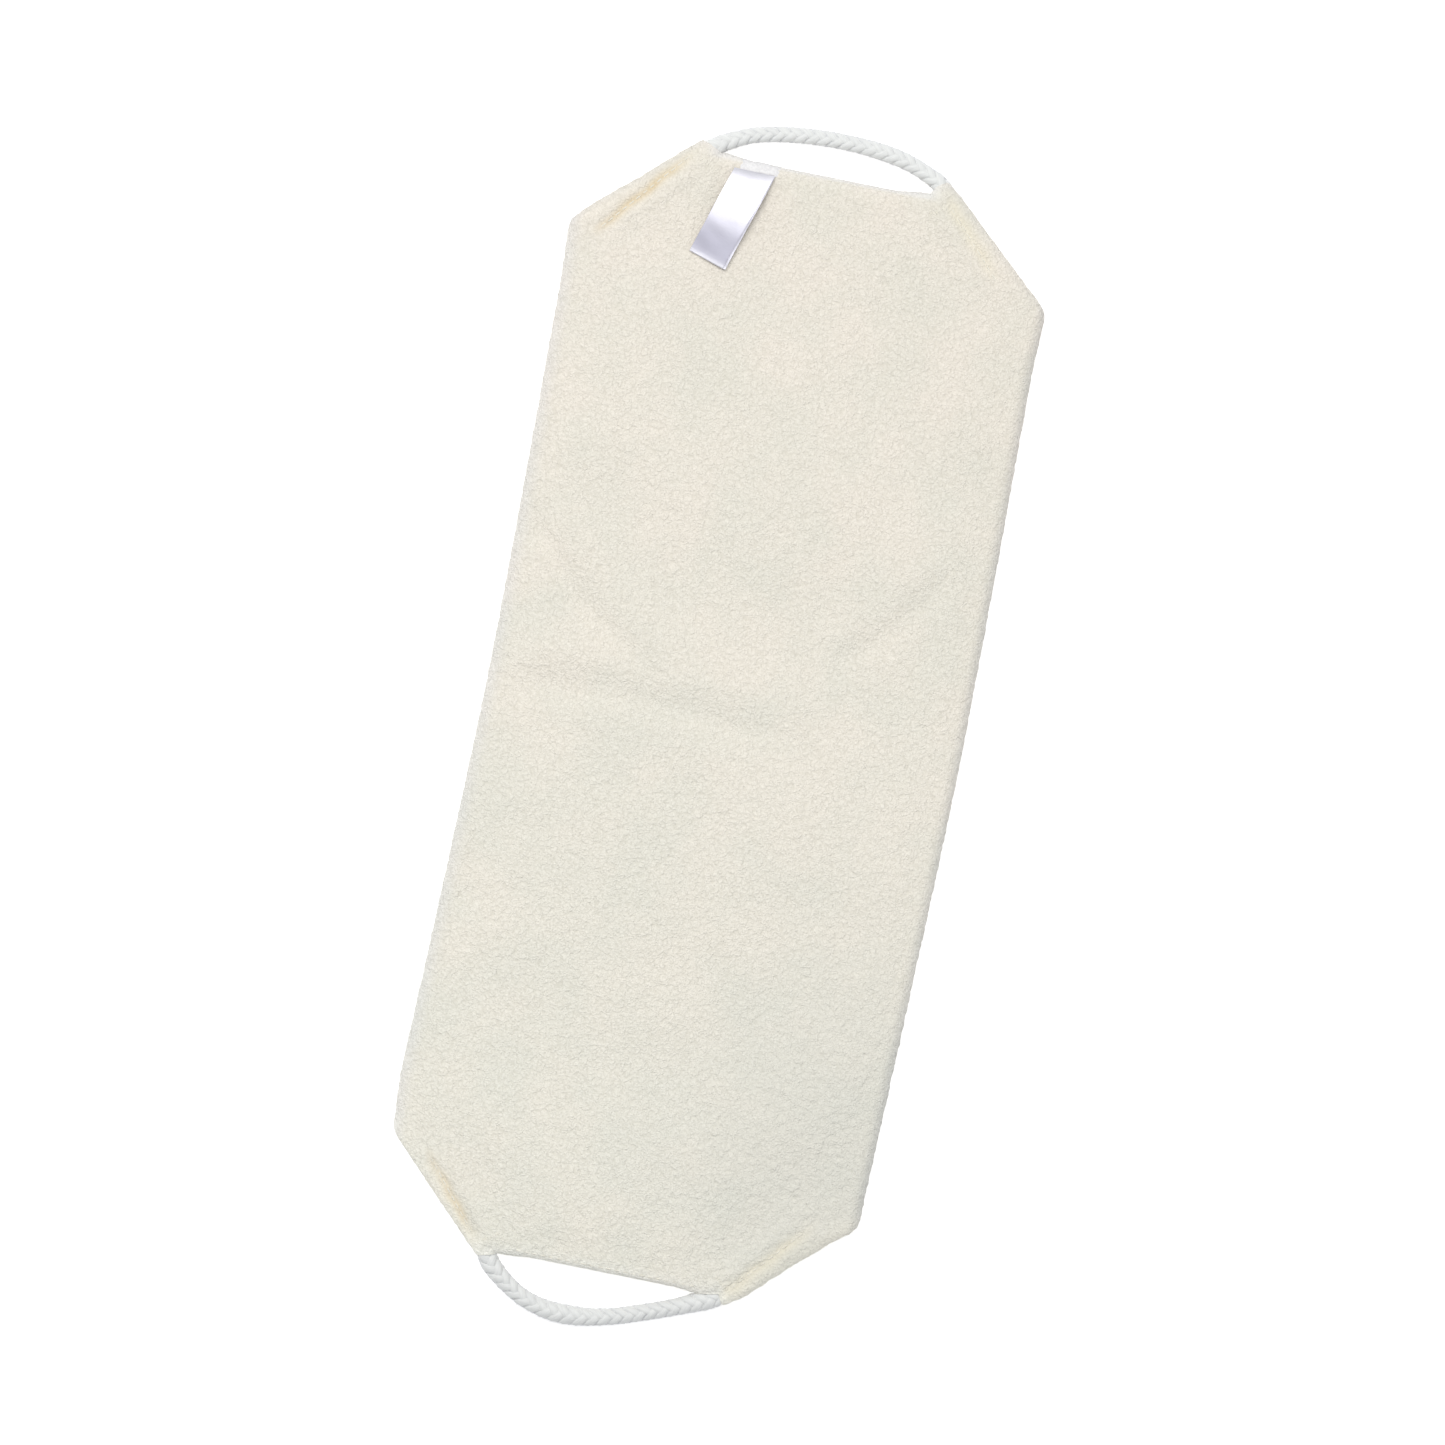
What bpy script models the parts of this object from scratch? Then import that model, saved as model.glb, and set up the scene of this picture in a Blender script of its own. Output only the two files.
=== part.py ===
"""Loofah back scrubber: a padded panel with terry cloth on one side, loofah on the other and a cord handle at each end.

Units are metres, +Z is up. The panel lies on its loofah side, and its labelled end points to +Y. The
origin is under the middle of the whole object, on the surface that it lies on. Everything is drawn in
the panel's own frame, whose middle is PANEL_OFFSET_Y from the origin, and hangs from an empty there.
The soft panel bends where it is divided into an upper, a middle and a lower part.
"""

import math

import bmesh
import bpy
from mathutils import Matrix, Vector

# Outline of the panel: a long rectangle with its four corners cut off.
HALF_WIDTH = 0.0962
HALF_LENGTH = 0.2246
CUT_START_Y = 0.1864  # where a side edge turns into a cut corner
CUT_END_X = 0.0545  # where a cut corner meets the end edge
SIDE_CORNER_RADIUS = 0.0090
END_CORNER_RADIUS = 0.0035
MIN_CORNER_RADIUS = 0.0008
CORNER_STEPS = 3
PANEL_OFFSET_Y = 0.0022  # the lower handle reaches further out than the upper one by twice this

# Layers, from the surface up. Insets are measured in from the panel's outline.
GAP = 0.0003
LOOFAH_TOP = 0.0038
LOOFAH_INSET = 0.0052
LOOFAH_EDGE = 0.0009  # bevel of its lower edge
FOAM_BOTTOM = LOOFAH_TOP + GAP
FOAM_TOP = 0.0073
FOAM_INSET = 0.0045
TERRY_UNDERSIDE = FOAM_TOP + GAP
TERRY_TOP = 0.0108
TERRY_RIM_BOTTOM = 0.0019
TERRY_RIM_WALL = 0.0037
TERRY_EDGE_ROUND = 0.0030
TERRY_RIM_BEVEL = 0.0009

# Where the panel bends: two lines across it, each at the middle of its thickness.
BEND_Y = 0.0750
BEND_Z = 0.0054
BEND_LEAN = math.radians(24)  # each face leans back this far, so that the panel bends 45 degrees both ways
BEND_GAP = 0.0004
BLOCK_BOTTOM = -0.0100  # the blocks that divide the panel reach past it on every side
BLOCK_TOP = 0.0300
BLOCK_FAR = 0.3000
BLOCK_HALF_WIDTH = 0.1500

# Cord of the handles, a braided cover over a filler.
CORD_RADIUS = 0.0033
FILLER_RADIUS = 0.0019
COVER_BORE = FILLER_RADIUS + 0.00035
COVER_SIDES = 12
DOME_STEPS = 3
DOME_HOLE = 0.0010
CORD_STEP = 0.0080
ROUTE_DIVISIONS = 20  # between two points of a route, before it is divided evenly
FILLER_CUT_BACK = 0.0005
CHANNEL_RADIUS = CORD_RADIUS + 0.00035
CHANNEL_PAST_END = 0.0012
KNUCKLE_GAP = 0.00035  # between a handle's round end and the sewn-in end of the same cord

# The handles' routes, from the left mouth to the right one. Each end lies on the handle's hinge line.
HANDLE_Y = 0.2290
HANDLE_Z = 0.0050
HANDLE_ROUTES = {
    "upper": [
        (-0.0412, HANDLE_Y, HANDLE_Z),
        (-0.0310, 0.2338, 0.0045),
        (-0.0180, 0.2370, 0.0039),
        (-0.0020, 0.2385, 0.0036),
        (0.0150, 0.2380, 0.0037),
        (0.0300, 0.2356, 0.0042),
        (0.0410, 0.2319, 0.0047),
        (0.0465, HANDLE_Y, HANDLE_Z),
    ],
    "lower": [
        (-0.0455, -HANDLE_Y, HANDLE_Z),
        (-0.0380, -0.2352, 0.0046),
        (-0.0290, -0.2404, 0.0041),
        (-0.0180, -0.2428, 0.0037),
        (-0.0060, -0.2427, 0.0036),
        (0.0060, -0.2405, 0.0036),
        (0.0175, -0.2368, 0.0039),
        (0.0288, -0.2324, 0.0045),
        (0.0372, -HANDLE_Y, HANDLE_Z),
    ],
}
SEWN_END_X = 0.0660  # where a cord's sewn-in end stops, inside the panel
SEWN_END_Y = 0.1945

# Stitching. The casing rows lie in a groove beside each cut corner.
THREAD_RADIUS = 0.00035
STITCH = 0.0042
GROOVE_RADIUS = 0.0017
GROOVE_FROM = (0.0545, 0.2182)
GROOVE_TO = (0.0805, 0.1880)
GROOVE_THREAD_Z = TERRY_TOP - GROOVE_RADIUS + THREAD_RADIUS + 0.00035
GROOVE_THREAD_RISE = 0.0006
GROOVE_THREAD_INSET = 0.0015
HEM_Y = 0.2224
HEM_HALF = 0.0370
HEM_Z = TERRY_TOP + THREAD_RADIUS + GAP
HEM_STITCH = 0.0050
HEM_RISE = 0.0004
HEM_CLIMB = 0.0045  # the row starts to climb this far from the label
SEAM_INSET = (TERRY_RIM_WALL + LOOFAH_INSET) / 2
SEAM_Z = 0.0024
SEAM_STITCH = 0.0100
SEAM_RISE = 0.0006
SEAM_END_Y = 0.1760
TACK_PLACE = (0.0470, 0.2195)
TACK_LENGTH = 0.0072
TACK_WIDTH = 0.0020
TACK_HEIGHT = 0.0010
TACK_RIDGES = 7
TACK_SLOPE = 0.2  # share of a ridge's width that each of its slopes takes
TACK_VALLEY = 0.55  # height between ridges, as a share of theirs

# Satin label, a ribbon folded double. It turns about the line where it is sewn down.
LABEL_X = -0.0269
LABEL_Y = 0.2200
LABEL_LENGTH = 0.0405
LABEL_WIDTH = 0.0150
LABEL_SKEW = math.radians(17.8)
LABEL_THICKNESS = 0.00105
LABEL_LEAF = 0.0003
LABEL_BOTTOM = TERRY_TOP + 0.0004
LABEL_CLEAR = 0.0006  # between the hinge line and the flap's edge
LABEL_ROOT_FROM = 0.0010  # past the hinge line
LABEL_ROOT_TO = 0.0036
FOLD_STEPS = 4

COLOURS = {
    "terry": ((0.80, 0.76, 0.66), 0.95),
    "foam": ((0.86, 0.83, 0.72), 0.90),
    "loofah": ((0.62, 0.47, 0.27), 0.85),
    "cord": ((0.86, 0.87, 0.85), 0.60),
    "filler": ((0.80, 0.80, 0.78), 0.80),
    "thread": ((0.82, 0.76, 0.62), 0.70),
    "satin": ((0.88, 0.88, 0.90), 0.30),
}
ENDS = {"upper": 1, "lower": -1}
SIDES = {"left": -1, "right": 1}


def clear_scene():
    for obj in list(bpy.data.objects):
        bpy.data.objects.remove(obj, do_unlink=True)


def material(name, finish):
    colour, roughness = COLOURS[finish]
    made = bpy.data.materials.new(name)
    made.use_nodes = True
    shader = made.node_tree.nodes["Principled BSDF"]
    shader.inputs["Base Color"].default_value = (*colour, 1)
    shader.inputs["Roughness"].default_value = roughness
    return made


def empty(name, place, parent=None):
    """An empty at a place in the panel's frame."""
    made = bpy.data.objects.new(name, None)
    bpy.context.scene.collection.objects.link(made)
    made.parent = parent
    made.location = place - (panel_place(parent) if parent else Vector())
    made["panel_place"] = place
    return made


def panel_place(pivot):
    return Vector(pivot["panel_place"])


def finished(name, data, finish, pivot):
    """An object that hangs from a pivot, with its origin there. Its data comes in the panel's frame."""
    data.transform(Matrix.Translation(-panel_place(pivot)))
    made = bpy.data.objects.new(name, data)
    bpy.context.scene.collection.objects.link(made)
    made.parent = pivot
    if finish:
        data.materials.append(material(name, finish))
    else:
        made.hide_render = True
        made.display_type = "WIRE"
    return made


def mesh_of(name, shape, smooth=False):
    bmesh.ops.recalc_face_normals(shape, faces=shape.faces)
    data = bpy.data.meshes.new(name)
    shape.to_mesh(data)
    shape.free()
    if smooth:
        data.shade_smooth()
        data.set_sharp_from_angle(angle=math.radians(40))
    return data


def boolean(obj, cutter, operation):
    modifier = obj.modifiers.new(f"{operation.lower()} {cutter.name}", "BOOLEAN")
    modifier.operation = operation
    modifier.object = cutter
    return modifier


def bridge(shape, one, other):
    for i in range(len(one)):
        shape.faces.new((one[i - 1], one[i], other[i], other[i - 1]))


def loft(name, rings, closed=False, smooth=False):
    """A skin through rings of points, with a cap at both ends, or closed back onto its first ring."""
    shape = bmesh.new()
    loops = [[shape.verts.new(point) for point in ring] for ring in rings]
    for one, other in zip(loops, loops[1:]):
        bridge(shape, one, other)
    if closed:
        bridge(shape, loops[-1], loops[0])
    else:
        shape.faces.new(reversed(loops[0]))
        shape.faces.new(loops[-1])
    return mesh_of(name, shape, smooth)


def prism(name, outline, across):
    """An outline of points pushed along the vector across."""
    ring = [Vector(point) for point in outline]
    return loft(name, [ring, [point + across for point in ring]])


def rounded(corner, before, after, radius):
    """The arc that replaces a corner of a polygon."""
    to_before = (before - corner).normalized()
    to_after = (after - corner).normalized()
    half = to_before.angle(to_after) / 2
    centre = corner + (to_before + to_after).normalized() * radius / math.sin(half)
    first = corner + to_before * radius / math.tan(half) - centre
    last = corner + to_after * radius / math.tan(half) - centre
    turn = first.angle_signed(last)
    points = []
    for step in range(CORNER_STEPS + 1):
        arm = first.copy()
        arm.rotate(Matrix.Rotation(-turn * step / CORNER_STEPS, 2))
        points.append(centre + arm)
    return points


def outline(inset, z):
    """The panel's outline moved in by inset, at height z, its corners rounded."""
    quarter = [Vector((HALF_WIDTH, CUT_START_Y)), Vector((CUT_END_X, HALF_LENGTH))]
    slope = (quarter[1] - quarter[0]).normalized()
    normal = Vector((slope.y, -slope.x))
    reach = normal.dot(quarter[0]) - inset
    wide, long = HALF_WIDTH - inset, HALF_LENGTH - inset
    side = Vector((wide, (reach - normal.x * wide) / normal.y))
    end = Vector(((reach - normal.y * long) / normal.x, long))
    corners = []
    for sx, sy, pair in ((1, 1, (side, end)), (-1, 1, (end, side)), (-1, -1, (side, end)), (1, -1, (end, side))):
        corners += [Vector((sx * point.x, sy * point.y)) for point in pair]
    radii = [SIDE_CORNER_RADIUS, END_CORNER_RADIUS, END_CORNER_RADIUS, SIDE_CORNER_RADIUS] * 2
    ring = []
    for i, corner in enumerate(corners):
        radius = max(radii[i] - inset, MIN_CORNER_RADIUS)
        arc = rounded(corner, corners[i - 1], corners[(i + 1) % len(corners)], radius)
        ring += [Vector((point.x, point.y, z)) for point in arc]
    return ring


def bend_block(part):
    """The space that one part of the panel keeps, with faces that lean back from each bend."""
    lean = math.tan(BEND_LEAN)
    heights = (BLOCK_BOTTOM, BEND_Z, BLOCK_TOP)

    def face(side_of_bend, y):
        return [(y + side_of_bend * (BEND_GAP / 2 + abs(z - BEND_Z) * lean), z) for z in heights]

    if part == "middle":
        profile = face(-1, BEND_Y) + face(1, -BEND_Y)[::-1]
    else:
        sign = ENDS[part]
        profile = face(sign, sign * BEND_Y) + [(sign * BLOCK_FAR, BLOCK_TOP), (sign * BLOCK_FAR, BLOCK_BOTTOM)]
    start = [(-BLOCK_HALF_WIDTH, y, z) for y, z in profile]
    return prism(f"bend_block_{part}", start, Vector((2 * BLOCK_HALF_WIDTH, 0, 0)))


def knuckle(end, side):
    """Where a handle's cord reaches its hinge line."""
    route = HANDLE_ROUTES[end]
    return Vector(route[0] if side == "left" else route[-1])


def sewn_stop(end, side):
    return Vector((SIDES[side] * SEWN_END_X, ENDS[end] * SEWN_END_Y, HANDLE_Z))


def ring_around(centre, along, radius, sides):
    """Points round a centre, square to the direction along."""
    sideways = along.cross(Vector((0, 0, 1))).normalized()
    upward = sideways.cross(along).normalized()
    turns = [2 * math.pi * i / sides for i in range(sides)]
    return [centre + radius * (math.cos(a) * sideways + math.sin(a) * upward) for a in turns]


def bar(name, start, stop, radius, sides):
    along = (stop - start).normalized()
    return loft(name, [ring_around(point, along, radius, sides) for point in (start, stop)])


def channel_cutter(end, side, pivot):
    """The space round a cord's sewn-in end."""
    start = knuckle(end, side)
    stop = sewn_stop(end, side)
    past = (stop - start).normalized() * CHANNEL_PAST_END
    name = f"channel_cutter_{end}_{side}"
    return finished(name, bar(name, start, stop + past, CHANNEL_RADIUS, COVER_SIDES), None, pivot)


def groove_line(end, side):
    sx, sy = SIDES[side], ENDS[end]
    return [Vector((sx * x, sy * y, TERRY_TOP)) for x, y in (GROOVE_FROM, GROOVE_TO)]


def groove_cutter(end, side, pivot):
    """The sunk line beside a cut corner."""
    start, stop = groove_line(end, side)
    name = f"groove_cutter_{end}_{side}"
    return finished(name, bar(name, start, stop, GROOVE_RADIUS, 8), None, pivot)


def terry_rings():
    return [
        outline(TERRY_RIM_WALL, TERRY_UNDERSIDE),
        outline(TERRY_RIM_WALL, TERRY_RIM_BOTTOM),
        outline(TERRY_RIM_BEVEL, TERRY_RIM_BOTTOM),
        outline(0, TERRY_RIM_BOTTOM + TERRY_RIM_BEVEL),
        outline(0, TERRY_TOP - TERRY_EDGE_ROUND * 0.8),
        outline(TERRY_EDGE_ROUND * 0.3, TERRY_TOP - TERRY_EDGE_ROUND * 0.25),
        outline(TERRY_EDGE_ROUND, TERRY_TOP),
    ]


def foam_rings():
    return [outline(FOAM_INSET, FOAM_BOTTOM), outline(FOAM_INSET, FOAM_TOP)]


def loofah_rings():
    return [
        outline(LOOFAH_INSET + LOOFAH_EDGE, 0),
        outline(LOOFAH_INSET, LOOFAH_EDGE),
        outline(LOOFAH_INSET, LOOFAH_TOP),
    ]


def build_panel(pivots):
    """The three layers, each divided into the panel's three parts."""
    layers = {
        "terry_front": (terry_rings, "terry"),
        "foam_core": (foam_rings, "foam"),
        "loofah_back": (loofah_rings, "loofah"),
    }
    for part, pivot in pivots.items():
        block = finished(f"bend_block_{part}", bend_block(part), None, pivot)
        channels = [channel_cutter(part, side, pivot) for side in SIDES] if part in ENDS else []
        grooves = [groove_cutter(part, side, pivot) for side in SIDES] if part in ENDS else []
        for layer, (rings, finish) in layers.items():
            name = f"{layer}_{part}"
            panel = finished(name, loft(name, rings()), finish, pivot)
            boolean(panel, block, "INTERSECT")
            for cutter in channels + (grooves if layer == "terry_front" else []):
                boolean(panel, cutter, "DIFFERENCE")


def smooth_route(points, step):
    """Points about a step apart on a smooth curve through the given ones (Catmull-Rom)."""
    given = [Vector(point) for point in points]
    given = [2 * given[0] - given[1], *given, 2 * given[-1] - given[-2]]
    fine = []
    for a, b, c, d in zip(given, given[1:], given[2:], given[3:]):
        for i in range(ROUTE_DIVISIONS):
            t = i / ROUTE_DIVISIONS
            fine.append(
                b
                + t * (c - a) / 2
                + t * t * (a - 2.5 * b + 2 * c - d / 2)
                + t**3 * (1.5 * (b - c) + (d - a) / 2)
            )
    fine.append(given[-2])
    lengths = [(q - p).length for p, q in zip(fine, fine[1:])]
    count = max(2, round(sum(lengths) / step))
    route, passed, i = [fine[0]], 0.0, 0
    for k in range(1, count):
        wanted = sum(lengths) * k / count
        while passed + lengths[i] < wanted:
            passed += lengths[i]
            i += 1
        route.append(fine[i].lerp(fine[i + 1], (wanted - passed) / lengths[i]))
    return route + [fine[-1]]


def tangents(route):
    ahead = route[1:] + [2 * route[-1] - route[-2]]
    behind = [2 * route[0] - route[1]] + route[:-1]
    return [(after - before).normalized() for before, after in zip(behind, ahead)]


def dome():
    """How far out and how wide each ring of a cord's round end is, from near its full width to its small hole."""
    hole = math.asin(DOME_HOLE / CORD_RADIUS)
    angles = [math.pi / 2 - (math.pi / 2 - hole) * (step + 1) / DOME_STEPS for step in range(DOME_STEPS)]
    return [(CORD_RADIUS * math.cos(angle), CORD_RADIUS * math.sin(angle)) for angle in angles]


def cord_cover(name, route, round_ends):
    """A hollow cover along a route. A round end has a small hole, and a plain end is open."""
    ways = tangents(route)

    def rings(radius):
        return [ring_around(p, t, radius, COVER_SIDES) for p, t in zip(route, ways)]

    outside, inside = rings(CORD_RADIUS), rings(COVER_BORE)
    if round_ends:
        near = [ring_around(route[0] - ways[0] * out, ways[0], wide, COVER_SIDES) for out, wide in dome()]
        far = [ring_around(route[-1] + ways[-1] * out, ways[-1], wide, COVER_SIDES) for out, wide in dome()]
        holes = rings(DOME_HOLE)
        outside = near[::-1] + outside + far
        inside = [holes[0], *inside, holes[-1]]
    return loft(name, outside + inside[::-1], closed=True, smooth=True)


def strand(name, route, radius, resolution, finish, pivot):
    """A round strand along straight runs between points, closed at both ends."""
    curve = bpy.data.curves.new(name, "CURVE")
    curve.dimensions = "3D"
    curve.bevel_depth = radius
    curve.bevel_resolution = resolution
    curve.use_fill_caps = True
    spline = curve.splines.new("POLY")
    spline.points.add(len(route) - 1)
    for point, place in zip(spline.points, route):
        point.co = (*place, 1)
    return finished(name, curve, finish, pivot)


def trimmed(route, amount):
    """The route with both its ends cut back."""
    first = route[0] + (route[1] - route[0]).normalized() * amount
    last = route[-1] + (route[-2] - route[-1]).normalized() * amount
    return [first, *route[1:-1], last]


def build_handle(end, pivot, panel_pivot):
    """A cord loop that turns on its hinge line, and the two sewn-in ends of the same cord."""
    route = smooth_route(HANDLE_ROUTES[end], CORD_STEP)
    name = f"rope_handle_{end}"
    finished(name, cord_cover(name, route, round_ends=True), "cord", pivot)
    strand(f"rope_filler_{end}", trimmed(route, FILLER_CUT_BACK), FILLER_RADIUS, 2, "filler", pivot)
    for side in SIDES:
        start, stop = knuckle(end, side), sewn_stop(end, side)
        along = (stop - start).normalized()
        start += along * (CORD_RADIUS + KNUCKLE_GAP)
        sewn = [start.lerp(stop, i / 3) for i in range(4)]
        name = f"rope_end_{end}_{side}"
        finished(name, cord_cover(name, sewn, round_ends=False), "cord", panel_pivot)
        filler = f"rope_end_filler_{end}_{side}"
        strand(filler, trimmed(sewn, FILLER_CUT_BACK), FILLER_RADIUS, 2, "filler", panel_pivot)


def stitched(start, stop, stitch, rise):
    """A row of stitches from start to stop, its thread going up and down once in each stitch."""
    count = 2 * max(1, round((stop - start).length / stitch))
    up = Vector((0, 0, rise))
    return [start.lerp(stop, i / count) + up * (i % 2) for i in range(count + 1)]


def casing_stitching(end, side, pivot):
    start, stop = groove_line(end, side)
    lower = Vector((0, 0, GROOVE_THREAD_Z - TERRY_TOP))
    ends_in = (stop - start).normalized() * GROOVE_THREAD_INSET
    route = stitched(start + lower + ends_in, stop + lower - ends_in, STITCH, GROOVE_THREAD_RISE)
    strand(f"casing_stitching_{end}_{side}", route, THREAD_RADIUS, 1, "thread", pivot)


def hem_stitching(end, pivot):
    """The row along an end edge. On the upper end it climbs over the label's root."""
    y = ENDS[end] * HEM_Y
    route = stitched(Vector((-HEM_HALF, y, HEM_Z)), Vector((HEM_HALF, y, HEM_Z)), HEM_STITCH, HEM_RISE)
    if end == "upper":
        over = LABEL_BOTTOM + LABEL_THICKNESS + GAP + THREAD_RADIUS
        for point in route:
            if abs(point.x - LABEL_X) < LABEL_WIDTH / 2 + HEM_CLIMB:
                point.z += over - HEM_Z
    strand(f"hem_stitching_{end}", route, THREAD_RADIUS, 1, "thread", pivot)


def side_seam(side, part, pivot):
    """The seam thread between the terry's turned edge and the loofah, along one part of a side."""
    x = SIDES[side] * (HALF_WIDTH - SEAM_INSET)
    clear = BEND_GAP + abs(SEAM_Z - BEND_Z) * math.tan(BEND_LEAN) + 2 * THREAD_RADIUS
    if part == "middle":
        ends = (-BEND_Y + clear, BEND_Y - clear)
    else:
        ends = (ENDS[part] * (BEND_Y + clear), ENDS[part] * SEAM_END_Y)
    start, stop = (Vector((x, y, SEAM_Z)) for y in ends)
    route = stitched(start, stop, SEAM_STITCH, SEAM_RISE)
    strand(f"side_seam_{side}_{part}", route, THREAD_RADIUS, 0, "thread", pivot)


def bar_tack(end, side, pivot):
    """A short bar of close stitches across the cord's mouth."""
    sx, sy = SIDES[side], ENDS[end]
    bottom = TERRY_TOP + GAP
    ridge = TACK_LENGTH / TACK_RIDGES
    profile = [(-TACK_LENGTH / 2, bottom), (TACK_LENGTH / 2, bottom)]
    for i in range(TACK_RIDGES):
        right = TACK_LENGTH / 2 - i * ridge
        top = bottom + TACK_HEIGHT
        profile += [(right - TACK_SLOPE * ridge, top), (right - (1 - TACK_SLOPE) * ridge, top)]
        if i < TACK_RIDGES - 1:
            profile.append((right - ridge, bottom + TACK_VALLEY * TACK_HEIGHT))
    along = (sewn_stop(end, side) - knuckle(end, side)).normalized()
    across = Vector((-along.y, along.x, 0))
    centre = Vector((sx * TACK_PLACE[0], sy * TACK_PLACE[1], 0)) - along * TACK_WIDTH / 2
    face = [centre + across * run + Vector((0, 0, z)) for run, z in profile]
    name = f"bar_tack_{end}_{side}"
    finished(name, prism(name, face, along * TACK_WIDTH), "thread", pivot)


def ribbon_section():
    """Side view of the folded ribbon as (share of its length, height), open at its root."""
    fold = LABEL_THICKNESS / 2
    straight = 1 - fold / LABEL_LENGTH

    def leaf_pair(radius):
        arc = []
        for step in range(FOLD_STEPS + 1):
            angle = -math.pi / 2 + math.pi * step / FOLD_STEPS
            arc.append((straight + radius * math.cos(angle) / LABEL_LENGTH, fold + radius * math.sin(angle)))
        return [(0, arc[0][1]), *arc, (0, arc[-1][1])]

    return leaf_pair(fold) + leaf_pair(fold - LABEL_LEAF)[::-1]


def build_label(flap_pivot, panel_pivot):
    """The ribbon's flap, and its root that is sewn under the hem."""
    away = Vector((-math.sin(LABEL_SKEW), -math.cos(LABEL_SKEW), 0))
    across = Vector((math.cos(LABEL_SKEW), -math.sin(LABEL_SKEW), 0))
    middle = Vector((LABEL_X, LABEL_Y, LABEL_BOTTOM))

    def edge(side):
        """One long edge of the flap. Its root end is cut along the hinge line."""
        offset = across * side * LABEL_WIDTH / 2
        start = (LABEL_CLEAR + offset.y) / math.cos(LABEL_SKEW)
        ring = []
        for share, height in ribbon_section():
            run = start + share * (LABEL_LENGTH - start)
            ring.append(middle + offset + away * run + Vector((0, 0, height)))
        return ring

    finished("label_ribbon", loft("label_ribbon", [edge(-1), edge(1)]), "satin", flap_pivot)
    half = LABEL_WIDTH / 2 / math.cos(LABEL_SKEW)
    slide = math.tan(LABEL_SKEW)
    base = []
    for x_side, past in ((-1, LABEL_ROOT_FROM), (1, LABEL_ROOT_FROM), (1, LABEL_ROOT_TO), (-1, LABEL_ROOT_TO)):
        base.append(middle + Vector((x_side * half + past * slide, past, 0)))
    root = prism("label_root", base, Vector((0, 0, LABEL_THICKNESS)))
    finished("label_root", root, "satin", panel_pivot)


def build():
    clear_scene()
    middle = empty("pad_middle", Vector())
    middle.location.y = PANEL_OFFSET_Y
    pivots = {"middle": middle}
    for end, sign in ENDS.items():
        pivots[end] = empty(f"bend_{end}", Vector((0, sign * BEND_Y, BEND_Z)), middle)
    build_panel(pivots)
    for end, sign in ENDS.items():
        hinge = empty(f"hinge_{end}", Vector((0, sign * HANDLE_Y, HANDLE_Z)), pivots[end])
        build_handle(end, hinge, pivots[end])
        hem_stitching(end, pivots[end])
        for side in SIDES:
            casing_stitching(end, side, pivots[end])
            bar_tack(end, side, pivots[end])
    for side in SIDES:
        for part, pivot in pivots.items():
            side_seam(side, part, pivot)
    label_line = Vector((LABEL_X, LABEL_Y, LABEL_BOTTOM + LABEL_THICKNESS / 2))
    build_label(empty("label_line", label_line, pivots["upper"]), pivots["upper"])


build()
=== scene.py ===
"""The looks of the loofah back scrubber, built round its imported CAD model.

Shapes are worked out in millimetres in the panel's own frame: its middle is the origin, its labelled
end points to +Y and its loofah side lies at z 0. world() turns them into the row frame's metres.
"""

import math

import bpy
import numpy as np
from mathutils.bvhtree import BVHTree
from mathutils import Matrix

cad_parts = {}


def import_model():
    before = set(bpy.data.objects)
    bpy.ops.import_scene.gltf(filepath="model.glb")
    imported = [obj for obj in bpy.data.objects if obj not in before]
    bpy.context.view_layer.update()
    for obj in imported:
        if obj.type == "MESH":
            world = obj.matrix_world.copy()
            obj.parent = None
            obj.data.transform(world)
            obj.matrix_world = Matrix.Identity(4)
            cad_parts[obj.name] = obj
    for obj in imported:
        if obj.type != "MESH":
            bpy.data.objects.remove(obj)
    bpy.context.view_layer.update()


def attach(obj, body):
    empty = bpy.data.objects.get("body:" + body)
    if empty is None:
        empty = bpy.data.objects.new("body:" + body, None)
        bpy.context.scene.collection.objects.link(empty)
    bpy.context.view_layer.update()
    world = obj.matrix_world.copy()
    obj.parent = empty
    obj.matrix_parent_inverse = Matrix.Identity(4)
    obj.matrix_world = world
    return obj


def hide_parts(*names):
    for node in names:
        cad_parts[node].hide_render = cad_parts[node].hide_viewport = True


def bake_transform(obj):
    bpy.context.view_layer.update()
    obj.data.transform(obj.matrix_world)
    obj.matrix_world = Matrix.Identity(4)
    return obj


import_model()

PANEL_OFFSET_Y = 2.2  # from the row frame's origin to the panel's middle
HALF_WIDTH, HALF_LENGTH = 96.2, 224.6
CUT_START_Y, CUT_END_X = 186.4, 54.5
SIDE_CORNER_RADIUS, END_CORNER_RADIUS = 9.0, 3.5
BEND_Y, BEND_Z = 75.0, 5.4
BEND_REACH = 62.0  # how far a bend spreads to each side of its middle
ENDS = {"upper": 1, "lower": -1}
SIDES = {"left": -1, "right": 1}


# ---------------------------------------------------------------- camera, light and floor


def place_camera():
    """Straight above the panel, turned so that the panel leans to the right in the picture."""
    data = bpy.data.cameras.new("camera")
    camera = bpy.data.objects.new("camera", data)
    bpy.context.scene.collection.objects.link(camera)
    height, cloth_level, seen_width = 2.60, 0.008, 0.578  # the picture shows that width of the cloth
    camera.location = (0.0030, 0.0035, height)
    camera.rotation_euler = (0, 0, math.radians(11.42))
    data.sensor_width = 36
    data.lens = data.sensor_width * (height - cloth_level) / seen_width
    data.clip_start, data.clip_end = 0.05, 20
    bpy.context.scene.camera = camera


def area_light(name, place, size, power, colour):
    data = bpy.data.lights.new(name, "AREA")
    data.shape, data.size, data.energy, data.color = "DISK", size, power, colour
    light = bpy.data.objects.new(name, data)
    bpy.context.scene.collection.objects.link(light)
    light.location = place
    light.rotation_euler = (-light.location).to_track_quat("-Z", "Y").to_euler()


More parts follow.
